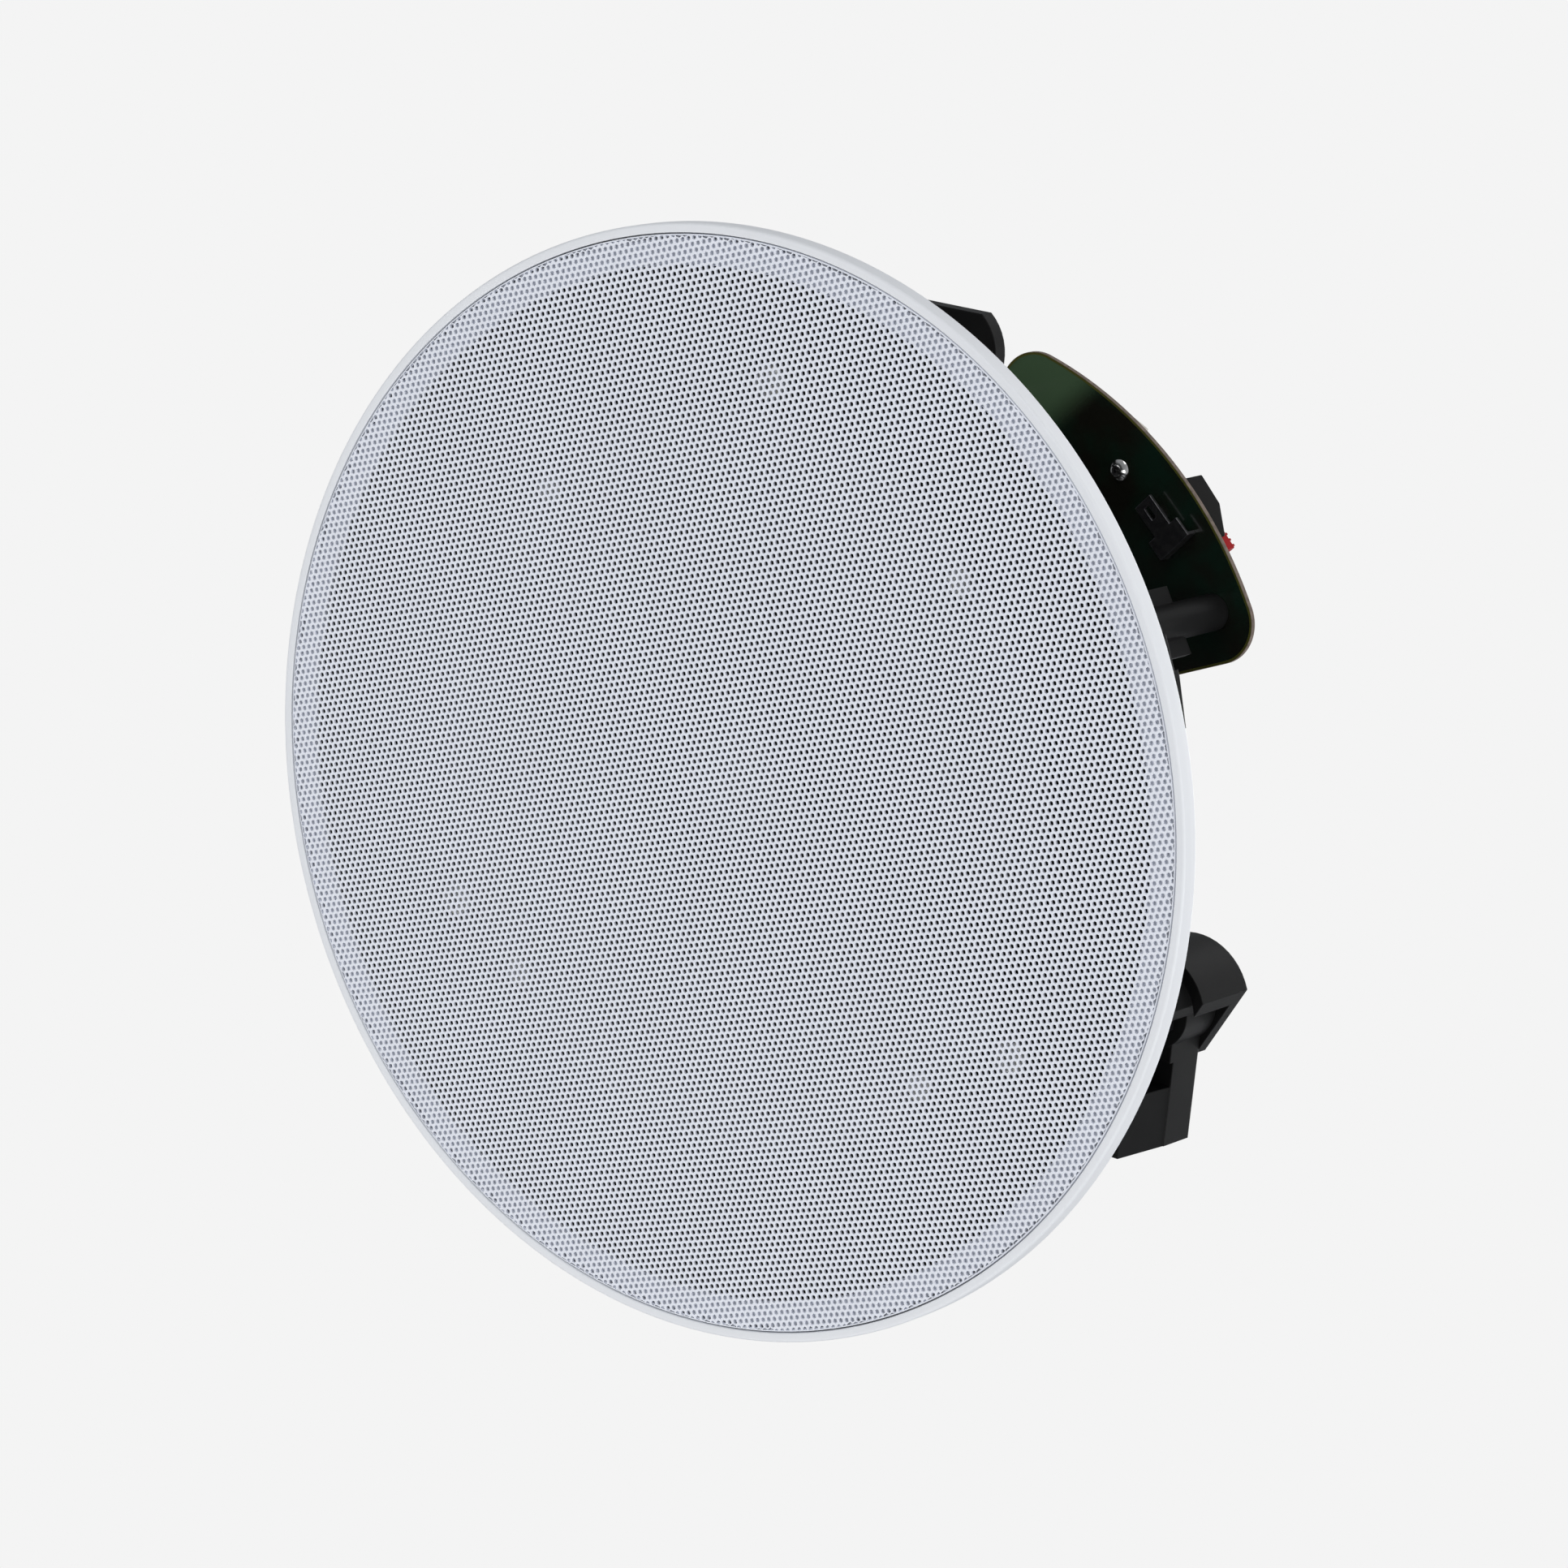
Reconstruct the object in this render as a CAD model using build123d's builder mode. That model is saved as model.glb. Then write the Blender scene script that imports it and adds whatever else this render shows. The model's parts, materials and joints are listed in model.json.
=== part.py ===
"""Round two-way ceiling speaker: grille, bezel, clamped chassis, woofer, tweeter and crossover board.

Millimetres. The origin is the centre of the bezel's rear face, which lies on the ceiling.
+Z points up into the ceiling, so the grille looks down, towards -Z.
"""
import os
from math import cos, radians, sin, sqrt

from build123d import *

# Bezel and grille
BEZEL_OVERHANG = 15.25
BEZEL_DEPTH = 4.0
BEZEL_FLOOR = 1.6
BEZEL_LIP = 2.0
BEZEL_EDGE = 0.6
GRILLE_SEAM = 0.3
GRILLE_SHEET = 0.8
GRILLE_SETBACK = 0.15
GRILLE_CORNER = 0.5
GRILLE_HOLE_PITCH = 26.0
GRILLE_HOLE_RADIUS = 7.5
GRILLE_ROW_TURN = -6.28

# Chassis
SKIRT_RADIUS = 101.0
SKIRT_WALL = 2.6
SKIRT_REAR = 22.0
BEZEL_CLEARANCE = 0.2
FLANGE_WIDTH = 6.5
FLANGE_THICKNESS = 1.0
BAFFLE_FRONT = 8.0
BAFFLE_THICKNESS = 3.0
BAFFLE_LEDGE = 8.0
TONGUE_ANGLE = -10.0
TONGUE_HEIGHT = 1.1
TONGUE_END = 0.3
TONGUE_THICKNESS = 2.0
TONGUE_SHY = 0.5
TONGUE_SHOULDER = 0.8
TONGUE_REACH = 9.5

# Clamps: a screw, a nut that it draws along, a dog that swings on the nut, and a tower with a hood
CLAMP_ANGLES = (42.2, 162.2, -77.8)
CLAMP_INSET = 17.0
TOWER_INNER = 9.2
TOWER_WALL = 2.2
HOOD_WALL = 2.6
HOOD_FRONT = 56.0
ROOF_REAR = 73.0
ROOF_THICKNESS = 3.5
TOWER_FLAT = 7.3
ROOF_FLAT = 9.0
TOWER_SHUT = 2.0
WINDOW_BEFORE = 8.5
WINDOW_AFTER = 33.0
SCREW_RADIUS = 2.5
SCREW_CLEARANCE = 0.1
SCREW_TIP_DEPTH = 2.0
SCREW_HEAD_RADIUS = 4.4
SCREW_HEAD_HEIGHT = 3.2
SCREW_RECESS = 1.6
NUT_RADIUS = 4.6
NUT_LENGTH = 11.0
NUT_FLANGE_RADIUS = 6.0
NUT_FLANGE = 1.2
NUT_CLEARANCE = 0.08
DOG_SWING_GAP = 0.2
DOG_HUB_RADIUS = 8.2
DOG_OUTER_FACE = 5.15
DOG_INNER_FACE = 4.6
DOG_REACH = 29.0
DOG_ARM_HEIGHT = 9.3
DOG_FOOT_LENGTH = 13.0
DOG_FOOT_DROP = 15.0
DOG_FOOT_TAPER = 1.5
DOG_FOOT_SETBACK = 0.2
DOG_ROOT_LENGTH = 10.5
DOG_ROOT_HEIGHT = 10.6
DOG_OPEN = (28.5, 0.0, 0.0)
DOG_DRAWN = (0.0, 28.0, 28.0)

# Woofer
BASKET_SCREW_GAP = 1.6
BASKET_FLANGE = 2.0
BASKET_FLANGE_WIDTH = 10.0
BASKET_NECK_MARGIN = 3.0
BASKET_REAR = 53.0
BASKET_WALL = 2.0
BASKET_WINDOWS = 6
BASKET_WINDOW_WIDTH = 20.0
BASKET_WINDOW_FOOT = 10.2
BASKET_WINDOW_HEAD = 3.0
SPIDER_GAP = 4.1
SPIDER_THICKNESS = 0.9
SPIDER_LAND = 3.0
SPIDER_LEDGE = 1.5
GASKET_THICKNESS = 1.2
GASKET_CLEARANCE = 0.3
WOOFER_SCREW_INSET = 3.5
WOOFER_SCREWS = 4
WOOFER_SCREW_TURN = 57.0
WOOFER_SCREW_RADIUS = 1.9
WOOFER_SCREW_HEAD = 3.2
WOOFER_SCREW_HEAD_HEIGHT = 1.8
SURROUND_WIDTH = 13.0
SURROUND_SIDE = 3.6
SURROUND_CLEARANCE = 0.2
CONE_THICKNESS = 1.0
COIL_RADIUS = 19.0
FORMER_WALL = 0.5
FORMER_SHY = 1.0
CONE_NECK = 28.0
SURROUND_THICKNESS = 1.0
SURROUND_LAND = 3.0
SURROUND_DROP = 5.0
DUST_CAP_RISE = 7.0
DUST_CAP_CROWN = 9.0
DUST_CAP_WALL = 0.8
WINDING_THICKNESS = 0.8
WINDING_LENGTH = 9.0
COIL_GAP = 0.5
POLE_GAP = 0.6
TOP_PLATE_RADIUS = 43.0
TOP_PLATE_THICKNESS = 5.0
MAGNET_RADIUS = 45.0
MAGNET_INNER = 24.0
MAGNET_THICKNESS = 15.0
YOKE_RADIUS = 43.0
YOKE_THICKNESS = 5.0
POLE_VENT = 5.0
YOKE_CHAMFER = 1.5

# Tweeter on a bridge across the woofer
BRIDGE_WIDTH = 15.0
BRIDGE_FRONT = -2.4
BRIDGE_THICKNESS = 2.0
BRIDGE_FOOT_LENGTH = 7.0
BRIDGE_RING_RADIUS = 23.0
BRIDGE_TURN = 30.0
TWEETER_RADIUS = 19.5
TWEETER_CLEARANCE = 0.15
TWEETER_DEPTH = 8.0
TWEETER_MAGNET_DEPTH = 6.0
TWEETER_MAGNET_RADIUS = 15.0
TWEETER_LIP_WIDTH = 2.0
DOME_RADIUS = 12.7
DOME_RISE = 4.0
DOME_CROWN = 5.0
TWEETER_WELL = 5.0
TWEETER_RIM = 3.0

# Crossover board and what sits on it; a spot is a distance from the board's outer edge and an angle
BOARD_FRONT = 70.2
BOARD_THICKNESS = 1.2
BOARD_INSET = 10.7
BOARD_WIDTH = 35.0
BOARD_ANGLES = (-68.6, -10.3)
BOARD_CORNER = 9.0
BOARD_INNER_CORNER = 4.0
POST_RADIUS = 3.9
POST_SPOTS = ((8.9, -18.1), (13.8, -66.0))
POST_RIB = 1.8
POST_RIB_REACH = 7.4
POST_RIB_HEIGHT = 45.5
BOARD_SCREW_RADIUS = 1.5
BOARD_SCREW_HEAD = 3.0
BOARD_SCREW_HEAD_HEIGHT = 1.8
BOARD_SCREW_LENGTH = 10.0
STUD_SPOTS = ((10.5, -44.0), (26.3, -43.8))
STUD_RADIUS = 2.2
STUD_HEIGHT = 1.6
TAB_SPOT = (8.9, -28.8)
TAB_TURN = 234.5
TAB_WIDTH = 4.8
TAB_LENGTH = 12.0
TAB_THICKNESS = 0.8
TAB_LIFT = 2.2
TAB_BASE_WIDTH = 9.0
TAB_BASE_LENGTH = 4.5
TAB_SLOT = (3.0, 1.2)
TERMINAL_SPOT = (9.8, -32.2)
TERMINAL_LENGTH = 14.7
TERMINAL_DEPTH = 14.0
TERMINAL_HEIGHT = 10.3
TERMINAL_SLOPE = 4.9
LEVER_OFFSET = 3.4
LEVER_WIDTH = 5.0
LEVER_CLEARANCE = 0.4
LEVER_HUB_RADIUS = 2.6
LEVER_PIVOT = (3.4, 6.0)
LEVER_THICKNESS = 3.4
LEVER_LENGTH = 6.6
LEVER_RIDGES = 3
LEVER_RIDGE_PITCH = 1.4
LEVER_RIDGE = 0.6
BOBBIN_SPOT = (24.3, -19.0)
BOBBIN_RADIUS = 9.0
BOBBIN_CORE = 5.0
BOBBIN_CHEEK = 1.2
BOBBIN_HEIGHT = 10.0
INDUCTOR_WIRE = 3.2
CAPACITOR_SPOTS = ((24.3, -48.0), (24.3, -57.5))
CAPACITOR_SIZE = (14.0, 8.0, 10.0)
RESISTOR_SPOT = (6.3, -52.0)
RESISTOR_SIZE = (6.0, 18.0, 6.5)

# Radii and levels that several pieces share
BEZEL_RADIUS = SKIRT_RADIUS + BEZEL_OVERHANG
FLANGE_RADIUS = SKIRT_RADIUS + FLANGE_WIDTH
CLAMP_RADIUS = SKIRT_RADIUS - CLAMP_INSET
BASKET_FLANGE_RADIUS = CLAMP_RADIUS - SCREW_HEAD_RADIUS - BASKET_SCREW_GAP
BAFFLE_OPENING = BASKET_FLANGE_RADIUS - BAFFLE_LEDGE
BASKET_THROAT = BASKET_FLANGE_RADIUS - BASKET_FLANGE_WIDTH
BASKET_NECK_RADIUS = TOP_PLATE_RADIUS + BASKET_NECK_MARGIN
WOOFER_SCREW_CIRCLE = BASKET_FLANGE_RADIUS - WOOFER_SCREW_INSET
CONE_OUTER = BASKET_THROAT - SURROUND_WIDTH
BOARD_RADIUS = SKIRT_RADIUS - BOARD_INSET
BOARD_INNER = BOARD_RADIUS - BOARD_WIDTH
POST_PLACES = [(BOARD_RADIUS - inset, angle) for inset, angle in POST_SPOTS]
STUD_PLACES = [(BOARD_RADIUS - inset, angle) for inset, angle in STUD_SPOTS]
FACE = -BEZEL_DEPTH
FLOOR_FRONT = -BEZEL_FLOOR
FLANGE_FRONT = FLOOR_FRONT - FLANGE_THICKNESS
BAFFLE_REAR = BAFFLE_FRONT + BAFFLE_THICKNESS
ROOF_FRONT = ROOF_REAR - ROOF_THICKNESS
BOARD_REAR = BOARD_FRONT + BOARD_THICKNESS
TOWER_RADIUS = TOWER_INNER + TOWER_WALL
HOOD_RADIUS = TOWER_RADIUS + HOOD_WALL
BASKET_FRONT = BAFFLE_FRONT - GASKET_THICKNESS - BASKET_FLANGE
TOP_PLATE_REAR = BASKET_REAR + TOP_PLATE_THICKNESS
MAGNET_REAR = TOP_PLATE_REAR + MAGNET_THICKNESS
YOKE_REAR = MAGNET_REAR + YOKE_THICKNESS
POLE_RADIUS = COIL_RADIUS - POLE_GAP
COIL_OUTER = COIL_RADIUS + FORMER_WALL + WINDING_THICKNESS
COIL_OPENING = COIL_OUTER + COIL_GAP
BRIDGE_REAR = BRIDGE_FRONT + BRIDGE_THICKNESS
DOG_REAR = ROOF_FRONT - DOG_SWING_GAP
FORMER_REAR = TOP_PLATE_REAR - FORMER_SHY
SPIDER_REAR = FORMER_REAR - WINDING_LENGTH - SPIDER_GAP
SPIDER_HEIGHT = SPIDER_REAR - SPIDER_THICKNESS

os.makedirs("parts", exist_ok=True)


def write(builder, name):
    """Labels a finished piece and writes it to its own file."""
    builder.part.label = name
    export_step(builder.part, f"parts/{name}.step")


def spot(radius, angle):
    """A point in the plan, given by its distance from the axis and its angle."""
    return radius * cos(radians(angle)), radius * sin(radians(angle))


def station(radius, angle, height, turn=0.0):
    """A level plane at a point of the plan: its X points outwards, turned further by turn."""
    x, y = spot(radius, angle)
    heading = radians(angle + turn)
    return Plane(origin=(x, y, height), x_dir=(cos(heading), sin(heading), 0), z_dir=(0, 0, 1))


def board_bench(place):
    """A level plane on the rear of the board, at an inset from its outer edge and an angle."""
    inset, angle = place
    return station(BOARD_RADIUS - inset, angle, BOARD_REAR)


def ring_section(*points):
    """Turns a closed outline of (radius, height) points round the axis."""
    with BuildPart() as ring:
        with BuildSketch(Plane.XZ):
            with BuildLine():
                Polyline(*points, close=True)
            make_face()
        revolve(axis=Axis.Z)
    return ring


def basket_inside(height):
    """Inner radius of the basket's cone at a height."""
    taper = (BASKET_THROAT - BASKET_NECK_RADIUS) / (BASKET_REAR - BASKET_WALL - BASKET_FRONT)
    return BASKET_THROAT - taper * (height - BASKET_FRONT)


def tower_sketch(plane, outer, inner, flat):
    """Half-round wall of a clamp tower: shut towards the axis and one side, flat outwards."""
    with BuildSketch(plane) as wall:
        Circle(outer)
        Circle(inner, mode=Mode.SUBTRACT)
        with Locations((flat, 0)):
            Rectangle(outer, 2 * outer, align=(Align.MIN, Align.CENTER), mode=Mode.SUBTRACT)
        with Locations((0, TOWER_SHUT)):
            Rectangle(2 * outer, outer, align=(Align.CENTER, Align.MIN), mode=Mode.SUBTRACT)
    return wall.sketch


# Bezel: an L-section ring with a softened front edge
with BuildPart() as bezel_ring:
    with BuildSketch(Plane.XZ) as section:
        with BuildLine():
            inner = SKIRT_RADIUS + BEZEL_CLEARANCE
            Polyline(
                (inner, 0),
                (BEZEL_RADIUS, 0),
                (BEZEL_RADIUS, FACE + BEZEL_EDGE),
                (BEZEL_RADIUS - BEZEL_EDGE, FACE),
                (BEZEL_RADIUS - BEZEL_LIP, FACE),
                (BEZEL_RADIUS - BEZEL_LIP, FLOOR_FRONT),
                (inner, FLOOR_FRONT),
                close=True,
            )
        make_face()
    revolve(axis=Axis.Z)
write(bezel_ring, "bezel_ring")

# Grille: a thin tray with a turned edge that stands on the bezel floor, and staggered holes
GRILLE_RADIUS = BEZEL_RADIUS - BEZEL_LIP - GRILLE_SEAM
GRILLE_FRONT = FACE + GRILLE_SETBACK
GRILLE_BACK = GRILLE_FRONT + GRILLE_SHEET
with BuildPart() as grille:
    with BuildSketch(Plane.XZ):
        with BuildLine():
            Polyline(
                (0, GRILLE_FRONT),
                (GRILLE_RADIUS - GRILLE_CORNER, GRILLE_FRONT),
                (GRILLE_RADIUS, GRILLE_FRONT + GRILLE_CORNER),
                (GRILLE_RADIUS, FLOOR_FRONT),
                (GRILLE_RADIUS - GRILLE_SHEET, FLOOR_FRONT),
                (GRILLE_RADIUS - GRILLE_SHEET, GRILLE_BACK),
                (0, GRILLE_BACK),
                close=True,
            )
        make_face()
    revolve(axis=Axis.Z)
    reach = FLANGE_RADIUS - GRILLE_HOLE_RADIUS
    rows = int(reach / (GRILLE_HOLE_PITCH * sqrt(3) / 2))
    columns = int(reach / GRILLE_HOLE_PITCH) + 1
    turn = radians(GRILLE_ROW_TURN)
    holes = []
    for row in range(-rows, rows + 1):
        for column in range(-columns, columns + 1):
            along = (column + (row % 2) / 2) * GRILLE_HOLE_PITCH
            across = row * GRILLE_HOLE_PITCH * sqrt(3) / 2
            if sqrt(along**2 + across**2) < reach:
                holes.append((along * cos(turn) - across * sin(turn), along * sin(turn) + across * cos(turn)))
    with BuildSketch(Plane.XY.offset(GRILLE_FRONT)):
        with Locations(*holes):
            RegularPolygon(GRILLE_HOLE_RADIUS, 6, rotation=GRILLE_ROW_TURN)
    extrude(amount=GRILLE_SHEET, mode=Mode.SUBTRACT)
write(grille, "grille")

# Chassis: skirt with a front flange, recessed baffle, clamp towers and board posts
with BuildPart() as chassis:
    with BuildSketch(Plane.XZ):
        with BuildLine():
            wall = SKIRT_RADIUS - SKIRT_WALL
            Polyline(
                (BAFFLE_OPENING, BAFFLE_FRONT),
                (wall, BAFFLE_FRONT),
                (wall, FLANGE_FRONT),
                (FLANGE_RADIUS, FLANGE_FRONT),
                (FLANGE_RADIUS, FLOOR_FRONT),
                (SKIRT_RADIUS, FLOOR_FRONT),
                (SKIRT_RADIUS, SKIRT_REAR),
                (wall, SKIRT_REAR),
                (wall, BAFFLE_REAR),
                (BAFFLE_OPENING, BAFFLE_REAR),
                close=True,
            )
        make_face()
    revolve(axis=Axis.Z)
    for angle in CLAMP_ANGLES:
        # notch in the skirt through which the dog swings out
        with BuildSketch(station(CLAMP_RADIUS, angle, BAFFLE_REAR)):
            with Locations((0, -WINDOW_BEFORE)):
                Rectangle(SKIRT_RADIUS, WINDOW_BEFORE + WINDOW_AFTER, align=Align.MIN)
        extrude(amount=SKIRT_REAR, mode=Mode.SUBTRACT)
        # tower, its wider hood and the roof that carries the end of the screw
        foot = tower_sketch(station(CLAMP_RADIUS, angle, BAFFLE_REAR), TOWER_RADIUS, TOWER_INNER, TOWER_FLAT)
        extrude(foot, amount=HOOD_FRONT + HOOD_WALL - BAFFLE_REAR)
        hood = tower_sketch(station(CLAMP_RADIUS, angle, HOOD_FRONT), HOOD_RADIUS, TOWER_RADIUS, ROOF_FLAT)
        extrude(hood, amount=ROOF_REAR - HOOD_FRONT)
        step = tower_sketch(station(CLAMP_RADIUS, angle, HOOD_FRONT), HOOD_RADIUS, TOWER_INNER, TOWER_FLAT)
        extrude(step, amount=HOOD_WALL)
        with BuildSketch(station(CLAMP_RADIUS, angle, ROOF_FRONT)):
            Circle(TOWER_RADIUS)
            with Locations((ROOF_FLAT, 0)):
                Rectangle(TOWER_RADIUS, 2 * TOWER_RADIUS, align=(Align.MIN, Align.CENTER), mode=Mode.SUBTRACT)
        extrude(amount=ROOF_THICKNESS)
        with Locations(station(CLAMP_RADIUS, angle, BAFFLE_FRONT)):
            Cylinder(
                SCREW_RADIUS + SCREW_CLEARANCE,
                ROOF_FRONT - BAFFLE_FRONT + SCREW_TIP_DEPTH,
                align=(Align.CENTER, Align.CENTER, Align.MIN),
                mode=Mode.SUBTRACT,
            )
    # low tongue on the skirt's rear edge, which falls away to one side
    root = station(SKIRT_RADIUS - TONGUE_SHY, TONGUE_ANGLE, 0)
    with BuildSketch(Plane(origin=root.origin, x_dir=root.y_dir, z_dir=root.x_dir)):
        with BuildLine():
            Polyline(
                (-TONGUE_REACH, BAFFLE_REAR),
                (-TONGUE_REACH, SKIRT_REAR + TONGUE_HEIGHT),
                (-TONGUE_SHOULDER, SKIRT_REAR + TONGUE_HEIGHT),
                (TONGUE_REACH, SKIRT_REAR + TONGUE_END),
                (TONGUE_REACH, BAFFLE_REAR),
                close=True,
            )
        make_face()
    extrude(amount=-TONGUE_THICKNESS)
    for radius, angle in POST_PLACES:
        with BuildSketch(station(radius, angle, BAFFLE_REAR)):
            Circle(POST_RADIUS)
        extrude(amount=BOARD_FRONT - BAFFLE_REAR)
        with BuildSketch(station(radius, angle, BAFFLE_REAR)):
            Rectangle(POST_RIB, 2 * POST_RIB_REACH)
        extrude(amount=POST_RIB_HEIGHT)
        with Locations(station(radius, angle, BOARD_FRONT - BOARD_SCREW_LENGTH)):
            Cylinder(
                BOARD_SCREW_RADIUS,
                BOARD_SCREW_LENGTH,
                align=(Align.CENTER, Align.CENTER, Align.MIN),
                mode=Mode.SUBTRACT,
            )
    with PolarLocations(WOOFER_SCREW_CIRCLE, WOOFER_SCREWS, WOOFER_SCREW_TURN):
        with Locations((0, 0, BAFFLE_FRONT)):
            Cylinder(
                WOOFER_SCREW_RADIUS,
                BAFFLE_THICKNESS,
                align=(Align.CENTER, Align.CENTER, Align.MIN),
                mode=Mode.SUBTRACT,
            )
write(chassis, "chassis")

# Clamp screws: pan head under the baffle, cross recess, tip in the roof
for number, angle in enumerate(CLAMP_ANGLES, 1):
    with BuildPart() as clamp_screw:
        with BuildSketch(station(CLAMP_RADIUS, angle, BAFFLE_FRONT - SCREW_HEAD_HEIGHT)):
            Circle(SCREW_HEAD_RADIUS)
        extrude(amount=SCREW_HEAD_HEIGHT)
        with BuildSketch(station(CLAMP_RADIUS, angle, BAFFLE_FRONT)):
            Circle(SCREW_RADIUS)
        extrude(amount=ROOF_FRONT - BAFFLE_FRONT + SCREW_TIP_DEPTH - SCREW_CLEARANCE)
        with BuildSketch(station(CLAMP_RADIUS, angle, BAFFLE_FRONT - SCREW_HEAD_HEIGHT)):
            Rectangle(SCREW_HEAD_RADIUS, SCREW_RECESS / 2)
            Rectangle(SCREW_RECESS / 2, SCREW_HEAD_RADIUS)
        extrude(amount=SCREW_RECESS, mode=Mode.SUBTRACT)
    write(clamp_screw, f"clamp_screw_{number}")

# Clamp nuts: flanged inserts on the screws, drawn towards the flange by each clamp's own amount
for number, (angle, drawn) in enumerate(zip(CLAMP_ANGLES, DOG_DRAWN), 1):
    with BuildPart() as clamp_nut:
        top = DOG_REAR - drawn
        with BuildSketch(station(CLAMP_RADIUS, angle, top - NUT_LENGTH)):
            Circle(NUT_RADIUS)
        extrude(amount=NUT_LENGTH)
        with BuildSketch(station(CLAMP_RADIUS, angle, top - NUT_LENGTH - NUT_FLANGE)):
            RegularPolygon(NUT_FLANGE_RADIUS, 6)
        extrude(amount=NUT_FLANGE)
        with Locations(station(CLAMP_RADIUS, angle, top)):
            Cylinder(SCREW_RADIUS + SCREW_CLEARANCE, 3 * NUT_LENGTH, mode=Mode.SUBTRACT)
    write(clamp_nut, f"clamp_nut_{number}")

# Clamp dogs: hub on the nut, arm and a foot that reaches forward to press on the board
for number, (angle, swung, drawn) in enumerate(zip(CLAMP_ANGLES, DOG_OPEN, DOG_DRAWN), 1):
    with BuildPart() as clamp_dog:
        rear = DOG_REAR - drawn
        # the arm's own plane: X out of the arm's outer face, Y along the arm
        bench = station(CLAMP_RADIUS, angle, 0, -swung)
        with BuildSketch(bench.offset(rear - NUT_LENGTH)):
            Circle(DOG_HUB_RADIUS)
        extrude(amount=NUT_LENGTH)
        section_plane = Plane(origin=bench.origin, x_dir=bench.x_dir, z_dir=-bench.y_dir)
        with BuildSketch(section_plane):
            with Locations(((DOG_OUTER_FACE - DOG_INNER_FACE) / 2, rear - DOG_ARM_HEIGHT / 2)):
                Rectangle(DOG_OUTER_FACE + DOG_INNER_FACE, DOG_ARM_HEIGHT)
        extrude(amount=-DOG_REACH)
        # thicker root, where the arm leaves the hub
        with BuildSketch(section_plane):
            with Locations(((DOG_OUTER_FACE - DOG_INNER_FACE) / 2, rear - DOG_ROOT_HEIGHT / 2)):
                Rectangle(DOG_OUTER_FACE + DOG_INNER_FACE, DOG_ROOT_HEIGHT)
        extrude(amount=-DOG_ROOT_LENGTH)
        with BuildSketch(section_plane.offset(-(DOG_REACH - DOG_FOOT_LENGTH))):
            with BuildLine():
                low = rear - DOG_ARM_HEIGHT
                Polyline(
                    (DOG_OUTER_FACE - DOG_FOOT_SETBACK, low),
                    (DOG_OUTER_FACE - DOG_FOOT_TAPER, low - DOG_FOOT_DROP),
                    (-DOG_INNER_FACE, low - DOG_FOOT_DROP),
                    (-DOG_INNER_FACE, low),
                    close=True,
                )
            make_face()
        extrude(amount=-DOG_FOOT_LENGTH)
        with Locations(station(CLAMP_RADIUS, angle, rear)):
            Cylinder(NUT_RADIUS + NUT_CLEARANCE, 3 * NUT_LENGTH, mode=Mode.SUBTRACT)
    write(clamp_dog, f"clamp_dog_{number}")

# Woofer frame: pressed basket with windows, gasket and screws
ledge_rear = SPIDER_REAR + SPIDER_LEDGE
spider_edge = basket_inside(SPIDER_REAR)
with BuildPart() as woofer_basket:
    with BuildSketch(Plane.XZ):
        with BuildLine():
            Polyline(
                (BASKET_THROAT, BASKET_FRONT),
                (BASKET_FLANGE_RADIUS, BASKET_FRONT),
                (BASKET_FLANGE_RADIUS, BASKET_FRONT + BASKET_FLANGE),
                (BASKET_THROAT + BASKET_WALL, BASKET_FRONT + BASKET_FLANGE),
                (BASKET_NECK_RADIUS + BASKET_WALL, BASKET_REAR),
                (COIL_OPENING, BASKET_REAR),
                (COIL_OPENING, BASKET_REAR - BASKET_WALL),
                (BASKET_NECK_RADIUS, BASKET_REAR - BASKET_WALL),
                (basket_inside(ledge_rear), ledge_rear),
                (spider_edge - SPIDER_LAND, ledge_rear),
                (spider_edge - SPIDER_LAND, SPIDER_REAR),
                (spider_edge, SPIDER_REAR),
                close=True,
            )
        make_face()
    revolve(axis=Axis.Z)
    window_low = BASKET_FRONT + BASKET_WINDOW_FOOT
    window_high = SPIDER_HEIGHT - BASKET_WINDOW_HEAD
    with BuildSketch(Plane.XY.offset(window_low)):
        with PolarLocations(BASKET_FLANGE_RADIUS, BASKET_WINDOWS):
            Rectangle(BASKET_FLANGE_RADIUS, BASKET_WINDOW_WIDTH)
    extrude(amount=window_high - window_low, mode=Mode.SUBTRACT)
    with BuildSketch(Plane.XY.offset(BASKET_FRONT)):
        with PolarLocations(WOOFER_SCREW_CIRCLE, WOOFER_SCREWS, WOOFER_SCREW_TURN):
            Circle(WOOFER_SCREW_RADIUS)
    extrude(amount=BASKET_FLANGE, mode=Mode.SUBTRACT)
write(woofer_basket, "woofer_basket")

with BuildPart() as woofer_gasket:
    with BuildSketch(Plane.XY.offset(BAFFLE_FRONT - GASKET_THICKNESS)):
        Circle(WOOFER_SCREW_CIRCLE - WOOFER_SCREW_RADIUS - GASKET_CLEARANCE)
        Circle(BAFFLE_OPENING, mode=Mode.SUBTRACT)
    extrude(amount=GASKET_THICKNESS)
write(woofer_gasket, "woofer_gasket")

with BuildPart() as woofer_screws:
    with BuildSketch(Plane.XY.offset(BASKET_FRONT)):
        with PolarLocations(WOOFER_SCREW_CIRCLE, WOOFER_SCREWS, WOOFER_SCREW_TURN):
            RegularPolygon(WOOFER_SCREW_HEAD, 6)
    extrude(amount=-WOOFER_SCREW_HEAD_HEIGHT)
    with BuildSketch(Plane.XY.offset(BASKET_FRONT)):
        with PolarLocations(WOOFER_SCREW_CIRCLE, WOOFER_SCREWS, WOOFER_SCREW_TURN):
            Circle(WOOFER_SCREW_RADIUS)
    extrude(amount=BAFFLE_REAR - BASKET_FRONT)
write(woofer_screws, "woofer_screws")

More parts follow.
